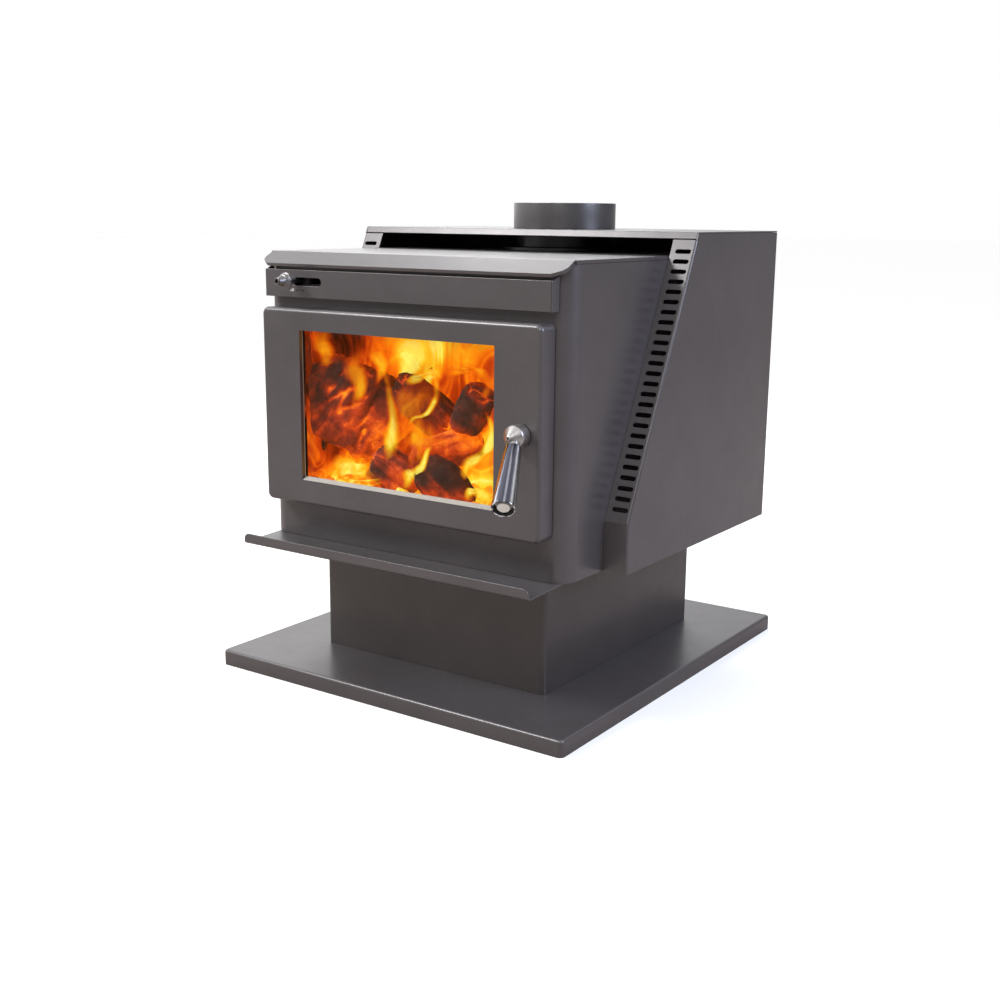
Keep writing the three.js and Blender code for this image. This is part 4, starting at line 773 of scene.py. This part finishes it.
# ------------------------------------------------------- marks by the air slot
def air_marks():
    """Marks printed below the slot, a pale wedge and dark dashes, and a dark strip of painted shadow in the
    seam at the box's right end.
    """
    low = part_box("control_box")[0]
    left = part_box("air_rod")[0].x - 9 * MM
    z = low.z + 8.6 * MM
    wedge = [[(0, 0), (8.5, 0), (8.5, 4.2), (5.5, 4.2)]]
    dashes = [[(x, 0.8), (x + 3.2, 0.8), (x + 3.2, 2.8), (x, 2.8)] for x in (12.5, 18.5, 24.5)]
    end = (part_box("control_box")[1].x - left) / MM
    # The dark strip at the box's right end is painted shadow in the corner seam.
    seam_shadow = [[(end - 2.6, -8.2), (end - 1.7, -8.2), (end - 1.7, 34.6), (end - 2.6, 33.8)]]
    for name, material, outlines in (
        ("air_wedge", MARKS, wedge),
        ("air_dashes", INK_AND_SHADOW, dashes),
        ("box_seam_shadow", INK_AND_SHADOW, seam_shadow),
    ):
        bm = bmesh.new()
        for outline in outlines:
            corners = [(left + u * MM, z + v * MM) for u, v in outline]
            front = [bm.verts.new((u, low.y - 0.03 * MM, v)) for u, v in corners]
            rear = [bm.verts.new((u, low.y + 0.2 * MM, v)) for u, v in corners]
            bm.faces.new(front)
            bm.faces.new(rear[::-1])
            for j in range(4):
                k = (j + 1) % 4
                bm.faces.new((front[j], rear[j], rear[k], front[k]))
        place(name, finished(bm, name, smooth=20), material, "stove", None)


MARKS = paint("mark_ink", (0.45, 0.43, 0.42), 0.6, 0.0)
# Dark ink for the printed dashes, and painted shadow for the seam strip.
INK_AND_SHADOW = paint("dash_ink_and_shadow", (0.006, 0.006, 0.006), 0.9, 0.0)


# ------------------------------------------------------------------- the fire
WINDOW_LOW = Vector((-172.2, -286, 305)) * MM
WINDOW_SIZE = Vector((344.4, 0, 221.4)) * MM
BEHIND_OPENING = -261 * MM  # back of the body's front plate
LINER_HALF = 177 * MM  # what the door's liner leaves open, half its width
BRICK_FACE = 236 * MM


def seen(u, v, depth):
    """A point so far behind the glass that shows at (u, v) of the window from the front right."""
    x = WINDOW_LOW.x + WINDOW_SIZE.x * u - depth * (0.935 - 0.246 * u)
    z = WINDOW_LOW.z + WINDOW_SIZE.z * v - depth * (0.279 - 0.158 * v)
    return Vector((x, WINDOW_LOW.y + depth, z))


def ripple(point, scale, seed, octaves=4):
    """Fractal noise between about -1 and 1 at a point."""
    where = Vector(point) * scale + Vector((seed * 7.3, seed * 3.1, seed * 5.7))
    return noise.fractal(where, 0.9, 2.1, octaves)


def eased(value, low, high):
    """0 below low, 1 above high, and a smooth rise between."""
    t = min(1.0, max(0.0, (value - low) / (high - low)))
    return t * t * (3 - 2 * t)


def log(name, centre, half, turn, seed, material, cold, hot, towards, boxy=3.4, cuts=5):
    """A burning piece of wood: a rough split block whose heat rises towards one direction."""
    bm = bmesh.new()
    heat = bm.verts.layers.float.new("warmth")
    bmesh.ops.create_cube(bm, size=2)
    bmesh.ops.subdivide_edges(bm, edges=bm.edges, cuts=2**cuts + 5, use_grid_fill=True)
    spin = Matrix.Rotation(math.radians(turn[2]), 4, "Z")
    spin = spin @ Matrix.Rotation(math.radians(turn[1]), 4, "Y")
    spin = spin @ Matrix.Rotation(math.radians(turn[0]), 4, "X")
    half = Vector(half)
    towards = Vector(towards).normalized()
    for vert in bm.verts:
        p = vert.co
        size = (abs(p.x) ** boxy + abs(p.y) ** boxy + abs(p.z) ** boxy) ** (1 / boxy)
        away = p / size
        spot = Vector((away.x * half.x, away.y * half.y, away.z * half.z))
        grain = Vector((spot.x * 0.16, spot.y, spot.z))
        chip = ripple(spot, 16, seed)
        split = ripple(grain, 70, seed + 1)
        edge = noise.voronoi((grain + Vector((seed, 0.004 * chip, 0.006 * chip))) / (21 * MM))[0]
        crack = max(0.0, 1 - (edge[1] - edge[0]) / 0.13) * eased(ripple(spot, 14, seed + 6), -0.1, 0.45)
        spot *= 1 + 0.17 * chip + 0.05 * split
        spot -= away.normalized() * (crack * 4.0 * MM)
        facing = (spin.to_3x3() @ Vector((away.x / half.x, away.y / half.y, away.z / half.z))).normalized()
        shine = eased(facing.dot(towards), 0.15, 0.95)
        flicker = 0.20 * ripple(spot, 26, seed + 4) + 0.15 * split
        vert[heat] = cold + (hot - cold) * shine + flicker + 0.42 * crack * crack
        vert.co = spin @ spot + centre
    mesh = finished(bm, name, smooth=75)
    place(name, mesh, material, "stove", None)


def tongue(name, line, widths, seed, material, thick=0.25, turn=0.6):
    """One flame: a flattened, wavering lick that tapers at both ends along a line of points."""
    points = smooth_line([Vector(p) for p in line], 60)
    sides = 28
    bm = bmesh.new()
    core = bm.verts.layers.float.new("core")
    rings = []
    across = Vector((math.cos(turn), math.sin(turn), 0))
    count = len(points)
    for i, point in enumerate(points):
        t = i / (count - 1)
        ahead = points[min(i + 1, count - 1)] - points[max(i - 1, 0)]
        normal = across.cross(ahead).normalized()
        side = ahead.cross(normal).normalized() * -1
        place_on = t * (len(widths) - 1)
        k = min(int(place_on), len(widths) - 2)
        wide = widths[k] + (widths[k + 1] - widths[k]) * (place_on - k)
        wide *= (1 + 0.35 * ripple(point, 30, seed, 2)) * min(1.0, 12 * t + 0.05, 9 * (1 - t) + 0.02)
        sway = normal * (0.004 * ripple(point, 22, seed + 3))
        ring = []
        for j in range(sides):
            a = 2 * math.pi * j / sides
            bulge = 1 + 0.22 * ripple(point + side * math.cos(a) * 0.02, 34, seed + 5, 2)
            beside = side * (math.cos(a) * wide * bulge) + normal * (math.sin(a) * wide * thick)
            vert = bm.verts.new(point + sway + beside)
            fade = min(1.0, 4 * t, 2.4 * (1 - t))
            vert[core] = max(0.0, 1 - abs(math.cos(a)) ** 1.6) * fade
            ring.append(vert)
        rings.append(ring)
    for a, b in zip(rings, rings[1:]):
        for j in range(sides):
            k = (j + 1) % sides
            bm.faces.new((a[j], a[k], b[k], b[j]))
    bm.faces.new(rings[0][::-1])
    bm.faces.new(rings[-1])
    place(name, finished(bm, name, smooth=180), material, "stove", None)


def smooth_line(points, count):
    """Evenly spread points on a Catmull-Rom curve."""
    ends = [points[0] * 2 - points[1], *points, points[-1] * 2 - points[-2]]
    spans = len(points) - 1
    out = []
    for i in range(count + 1):
        place_on = i / count * spans
        k = min(int(place_on), spans - 1)
        t = place_on - k
        a, b, c, d = ends[k : k + 4]
        out.append(
            0.5
            * (
                b * 2
                + (c - a) * t
                + (a * 2 - b * 5 + c * 4 - d) * t * t
                + (b * 3 - a - c * 3 + d) * t**3
            )
        )
    return out


# Hotter and cooler places in the wall of flame: u, v in the window, their reach, and the change in heat.
HOT_SPOTS = [
    (0.63, 0.98, 0.22, 0.16, 0.42),
    (0.60, 0.78, 0.07, 0.10, 0.30),
    (0.85, 0.93, 0.16, 0.10, 0.16),
    (0.52, 0.52, 0.05, 0.26, 0.24),
    (0.30, 0.08, 0.17, 0.13, 0.62),
    (0.10, 0.12, 0.10, 0.12, 0.26),
    (0.92, 0.12, 0.12, 0.14, 0.48),
    (0.93, 0.42, 0.05, 0.20, 0.34),
    (0.75, 0.32, 0.12, 0.10, 0.20),
    (0.03, 0.60, 0.11, 0.28, -0.26),
    (0.10, 0.95, 0.26, 0.12, -0.14),
    (0.80, 0.52, 0.11, 0.09, -0.42),
    (1.00, 0.60, 0.05, 0.24, -0.26),
    (1.20, 0.35, 0.14, 0.30, 0.20),
]


def heat_at(u, v, seed):
    """The wall of flame's heat at (u, v) of the window: drawn-out swirls over the hot and cool spots."""
    at = Vector((u * 1.55, v, seed))
    bend = Vector((noise.noise(at * 2.1), noise.noise(at * 2.1 + Vector((5.2, 1.3, 0))), 0))
    twist = at + bend * 0.34
    twist += Vector((noise.noise(twist * 4.5), noise.noise(twist * 4.5 + Vector((2.7, 8.1, 0))), 0)) * 0.13
    stretched = Vector((twist.x, twist.y * 0.55, seed))
    swirl = noise.fractal(stretched * 5.0, 1.0, 2.0, 3)
    thread = 1 - abs(noise.noise(stretched * 9.0)) * 5
    heat = 0.45 + 0.32 * swirl + 0.14 * max(0.0, thread) ** 2
    for cu, cv, ru, rv, change in HOT_SPOTS:
        away = ((u + bend.x * 0.10 - cu) / ru) ** 2 + ((v + bend.y * 0.10 - cv) / rv) ** 2
        heat += change * math.exp(-away)
    return heat


def wall_of_flame(material):
    """A rippling sheet of flame from close behind the window's left edge to the back right."""
    across, rows = 240, 128
    bm = bmesh.new()
    layer = bm.verts.layers.float.new("warmth")
    grid = []
    for i in range(across + 1):
        u = -0.03 + 1.45 * i / across
        depth = (5 + 20 * eased(u, 0.0, 0.065) + 85 * eased(u, 0.065, 0.16) + 20 * eased(u, 0.3, 1.0)) * MM
        column = []
        for j in range(rows + 1):
            v = -0.04 + 1.16 * j / rows
            heat = heat_at(u, v, 3.0)
            point = seen(u, v, depth * (1 + 0.10 * (heat - 0.5) * eased(u, 0.1, 0.3)))
            if point.y < BEHIND_OPENING:
                point.x = max(point.x, -LINER_HALF)
            point.x = min(point.x, BRICK_FACE)
            vert = bm.verts.new(point)
            vert[layer] = heat
            column.append(vert)
        grid.append(column)
    for a, b in zip(grid, grid[1:]):
        for j in range(rows):
            bm.faces.new((a[j], b[j], b[j + 1], a[j + 1]))
    place("flame_wall", finished(bm, "flame_wall", thickness=0.8 * MM, smooth=180), material, "stove", None)


def ember_bed(material):
    """Glowing embers heaped over the floor bricks, highest behind the front."""
    left, right = -236.5 * MM, 236.5 * MM
    front, back = -259 * MM, -20 * MM
    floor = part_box("floor_brick_1")[1].z + 0.3 * MM
    across, deep = 190, 96
    bm = bmesh.new()
    layer = bm.verts.layers.float.new("warmth")
    grid = []
    for i in range(across + 1):
        column = []
        for j in range(deep + 1):
            x = left + (right - left) * i / across
            y = front + (back - front) * j / deep
            heap = 0.288 + 0.012 * ripple((x, y, 0), 9, 2) - 0.03 * max(0.0, (y + 0.10) / 0.08)
            cells = noise.voronoi(Vector((x, y, 0.3)) / (22 * MM))[0]
            lump = 1 - min(1.0, cells[0] / 0.62) ** 2
            z = max(floor + 2 * MM, heap + 0.015 * lump + 0.003 * ripple((x, y, 1), 90, 4))
            vert = bm.verts.new((x, y, z))
            gap = max(0.0, 1 - (cells[1] - cells[0]) / 0.3)
            warm = 0.3 * math.exp(-(((x + 0.10) / 0.06) ** 2)) + 0.2 * eased(x, 0.09, 0.14)
            vert[layer] = 0.58 + warm + 0.3 * gap + 0.3 * ripple((x, y, 2), 20, 5)
            column.append(vert)
        grid.append(column)
    for a, b in zip(grid, grid[1:]):
        for j in range(deep):
            bm.faces.new((a[j], b[j], b[j + 1], a[j + 1]))
    rim = [e for e in bm.edges if e.is_boundary]
    extruded = bmesh.ops.extrude_edge_only(bm, edges=rim)["geom"]
    for vert in (g for g in extruded if isinstance(g, bmesh.types.BMVert)):
        vert.co.z = floor
    bmesh.ops.contextual_create(bm, geom=[e for e in bm.edges if e.is_boundary])
    place("ember_bed", finished(bm, "ember_bed", smooth=80), material, "stove", None)


def licks(lick, bright):
    """The separate flames, each along places in the window with their depth and half widths."""
    # name, material, depth behind the glass in mm, half widths in mm, places in the window
    flames = [
        (
            "flame_log_edge",
            bright,
            24,
            (7, 14, 10, 8, 5),
            [(0.45, 0.18), (0.465, 0.32), (0.48, 0.48), (0.455, 0.64), (0.43, 0.80)],
        ),
        (
            "flame_centre",
            lick,
            22,
            (12, 28, 34, 32, 18),
            [(0.55, 0.16), (0.61, 0.34), (0.55, 0.52), (0.62, 0.68), (0.58, 0.90)],
        ),
        (
            "flame_centre_thread",
            bright,
            20,
            (2, 5, 4, 6, 3),
            [(0.53, 0.36), (0.58, 0.50), (0.66, 0.56), (0.70, 0.70), (0.66, 0.86)],
        ),
        (
            "flame_cap",
            bright,
            26,
            (5, 11, 12, 6),
            [(0.54, 0.70), (0.60, 0.76), (0.68, 0.78), (0.74, 0.86)],
        ),
        (
            "flame_crest",
            bright,
            60,
            (8, 24, 36, 34),
            [(0.50, 0.70), (0.56, 0.82), (0.60, 0.93), (0.68, 1.04)],
        ),
        (
            "flame_crest_right",
            lick,
            56,
            (8, 26, 30, 26),
            [(0.74, 0.76), (0.80, 0.86), (0.84, 0.94), (0.90, 1.04)],
        ),
        (
            "flame_foot_left",
            bright,
            14,
            (9, 22, 24, 12),
            [(0.15, 0.20), (0.22, 0.10), (0.30, 0.13), (0.38, 0.04)],
        ),
        (
            "flame_foot_low",
            bright,
            12,
            (8, 15, 15, 6),
            [(0.20, 0.03), (0.28, 0.02), (0.36, 0.04), (0.42, 0.01)],
        ),
        (
            "flame_front",
            bright,
            10,
            (11, 12, 8, 5, 2),
            [(0.52, 0.02), (0.56, 0.14), (0.62, 0.19), (0.65, 0.30), (0.68, 0.36)],
        ),
        (
            "flame_right",
            bright,
            12,
            (7, 10, 9, 6, 2),
            [(0.83, 0.14), (0.86, 0.26), (0.945, 0.36), (0.965, 0.50), (0.93, 0.60)],
        ),
        (
            "flame_right_foot",
            bright,
            12,
            (8, 12, 12, 5),
            [(0.84, 0.02), (0.88, 0.10), (0.95, 0.06), (0.985, 0.02)],
        ),
        (
            "flame_swirl",
            lick,
            24,
            (8, 15, 16, 12, 8, 3),
            [(0.76, 0.72), (0.80, 0.82), (0.90, 0.84), (0.96, 0.76), (0.92, 0.68), (0.86, 0.70)],
        ),
        (
            "flame_left_top",
            lick,
            24,
            (8, 15, 17, 12),
            [(0.08, 0.74), (0.12, 0.84), (0.09, 0.93), (0.15, 1.03)],
        ),
        (
            "flame_left_veil",
            lick,
            16,
            (5, 18, 20, 12),
            [(0.24, 0.50), (0.30, 0.66), (0.27, 0.80), (0.36, 0.98)],
        ),
        (
            "flame_left_rise",
            lick,
            30,
            (6, 15, 18, 15),
            [(0.38, 0.66), (0.42, 0.80), (0.38, 0.90), (0.44, 1.03)],
        ),
    ]
    for seed, (name, material, depth, widths, marks) in enumerate(flames, 11):
        line = [seen(u, v, depth * MM) for u, v in marks]
        tongue(name, line, [w * MM for w in widths], seed, material)


def fire():
    """Burning logs, embers and flames on the floor bricks, close behind the window."""
    wood = glowing("burning_wood")
    ember_bed(wood)
    logs = [
        # name, u, v, depth, half sizes, turns, cold, hot, towards the heat
        ("log_left", 0.27, 0.53, 62, (66, 30, 80), (4, -58, 28), 0.20, 0.60, (0.75, 0.1, -0.65)),
        ("log_left_edge", 0.07, 0.40, 40, (46, 18, 20), (0, -78, 30), 0.24, 0.60, (-0.3, 0, -0.95)),
        ("log_middle", 0.49, 0.12, 44, (42, 22, 36), (10, 34, 24), 0.33, 0.60, (-0.6, -0.2, -0.5)),
        ("log_front", 0.735, 0.10, 40, (50, 22, 30), (0, 42, 26), 0.08, 0.52, (0.5, -0.3, -0.8)),
        ("log_right", 0.74, 0.32, 66, (56, 22, 26), (8, -14, 30), 0.28, 0.62, (0.4, -0.2, 0.6)),
        ("log_right_top", 0.64, 0.58, 78, (56, 24, 30), (0, 40, 30), 0.12, 0.50, (0.75, 0.1, -0.6)),
        ("log_right_end", 0.88, 0.60, 66, (24, 20, 38), (0, 24, 30), 0.20, 0.56, (-0.5, -0.2, -0.7)),
    ]
    for seed, (name, u, v, depth, half, turn, cold, hot, towards) in enumerate(logs, 1):
        centre = seen(u, v, depth * MM)
        log(name, centre, [h * MM for h in half], turn, seed, wood, cold, hot, towards)
    wall_of_flame(flame("flame_wall", None))
    licks(flame("flame_lick", (0.30, 0.70), 0.62), flame("flame_bright", (0.52, 0.98), 0.95))


# ---------------------------------------------------------- lights and the set
def area_light(name, at, aim, size, power, colour=(1, 1, 1)):
    data = bpy.data.lights.new(name, "AREA")
    data.shape = "RECTANGLE"
    data.size, data.size_y = size
    data.energy = power
    data.color = colour
    light = bpy.data.objects.new(name, data)
    light.location = at
    light.rotation_euler = (Vector(aim) - Vector(at)).to_track_quat("-Z", "Y").to_euler()
    bpy.context.scene.collection.objects.link(light)


def surroundings():
    """A white backdrop, brighter behind the stove and overhead than in front of it."""
    world = bpy.data.worlds.new("studio")
    world.use_nodes = True
    tree = world.node_tree
    background = tree.nodes["Background"]

    def node(kind, inputs=(), **settings):
        made = tree.nodes.new("ShaderNode" + kind)
        for key, value in settings.items():
            setattr(made, key, value)
        for key, value in inputs:
            if isinstance(value, bpy.types.NodeSocket):
                tree.links.new(value, made.inputs[key])
            else:
                made.inputs[key].default_value = value
        return made

    way = node("TexCoord").outputs["Generated"]
    behind = node("VectorMath", [(0, way), (1, (-0.97, 0.25, 0.0))], operation="DOT_PRODUCT")
    spread = [("Value", behind.outputs["Value"]), ("From Min", 0.05), ("From Max", 0.95)]
    spread += [("To Min", SKY_FRONT), ("To Max", SKY_BEHIND)]
    level = node("MapRange", spread, interpolation_type="SMOOTHSTEP").outputs["Result"]
    height = node("SeparateXYZ", [("Vector", way)]).outputs["Z"]
    climb = [("Value", height), ("From Min", 0.1), ("From Max", 0.9)]
    climb += [("To Min", 0.0), ("To Max", SKY_OVERHEAD)]
    top = node("MapRange", climb, interpolation_type="SMOOTHSTEP").outputs["Result"]
    lit = node("Math", [(0, level), (1, top)], operation="ADD").outputs["Value"]
    direct = node("LightPath").outputs["Is Camera Ray"]
    shown = node("Mix", data_type="FLOAT")
    tree.links.new(direct, shown.inputs[0])
    tree.links.new(lit, shown.inputs[2])
    shown.inputs[3].default_value = 1.0
    background.inputs["Color"].default_value = (1, 1, 1, 1)
    tree.links.new(shown.outputs[0], background.inputs["Strength"])
    return world


SKY_FRONT = 0.17
SKY_BEHIND = 1.05
SKY_OVERHEAD = 0.75


def studio():
    """A pale floor under a white sky, with large soft lights."""
    bpy.context.scene.world = surroundings()
    bpy.context.scene.view_settings.view_transform = "Standard"
    floor = Look("floor", (0.9, 0.9, 0.9), 0.9)
    tone = floor.noise(3, 3, 0.5)
    floor.set("Base Color", floor.mixed(tone, (0.92, 0.92, 0.92), (0.94, 0.94, 0.94)))
    floor.set("Emission Color", (1, 1, 1, 1))
    floor.set("Emission Strength", 0.16)
    # It shows pale, and throws back no more light than a studio's floor does.
    direct = floor.node("LightPath").outputs["Is Camera Ray"]
    dim = floor.node("BsdfDiffuse", [("Color", (0.40, 0.35, 0.32, 1))])
    shown = floor.node("MixShader", [(0, direct)])
    floor.tree.links.new(dim.outputs[0], shown.inputs[1])
    floor.tree.links.new(floor.shader.outputs[0], shown.inputs[2])
    output = next(n for n in floor.tree.nodes if n.type == "OUTPUT_MATERIAL")
    floor.tree.links.new(shown.outputs[0], output.inputs["Surface"])
    bm = bmesh.new()
    bmesh.ops.create_circle(bm, cap_ends=True, radius=40, segments=96)
    mesh = bpy.data.meshes.new("floor")
    bm.to_mesh(mesh)
    bm.free()
    mesh.materials.append(floor.material)
    ground = bpy.data.objects.new("floor", mesh)
    bpy.context.scene.collection.objects.link(ground)
    area_light("key", (-1.45, -1.8, 2.2), (0.1, 0, 0.5), (1.0, 0.7), 57)
    area_light("side", (3.0, 0.3, 1.9), (0, 0, 0.4), (1.4, 1.4), 72, (0.66, 0.76, 1.0))
    area_light("rim", (-1.5, 1.9, 2.3), (0, -0.1, 0.6), (1.2, 0.8), 31)
    area_light("fill", (1.0, -2.6, 2.1), (0.2, 0, 0.5), (1.5, 1.0), 22)


def fire_glow():
    """A warm lamp low in the firebox that lights the bricks."""
    data = bpy.data.lights.new("fire_glow", "POINT")
    data.energy = 2.0
    data.color = (1.0, 0.38, 0.09)
    data.shadow_soft_size = 0.05
    lamp = bpy.data.objects.new("fire_glow", data)
    lamp.location = (0, -0.03, 0.40)
    bpy.context.scene.collection.objects.link(lamp)


sheet_steel()
shield_side(-1, "shield_side_left")
shield_side(1, "shield_side_right")
handle()
air_knob()
flue_collar()
air_marks()
fire()
studio()
fire_glow()
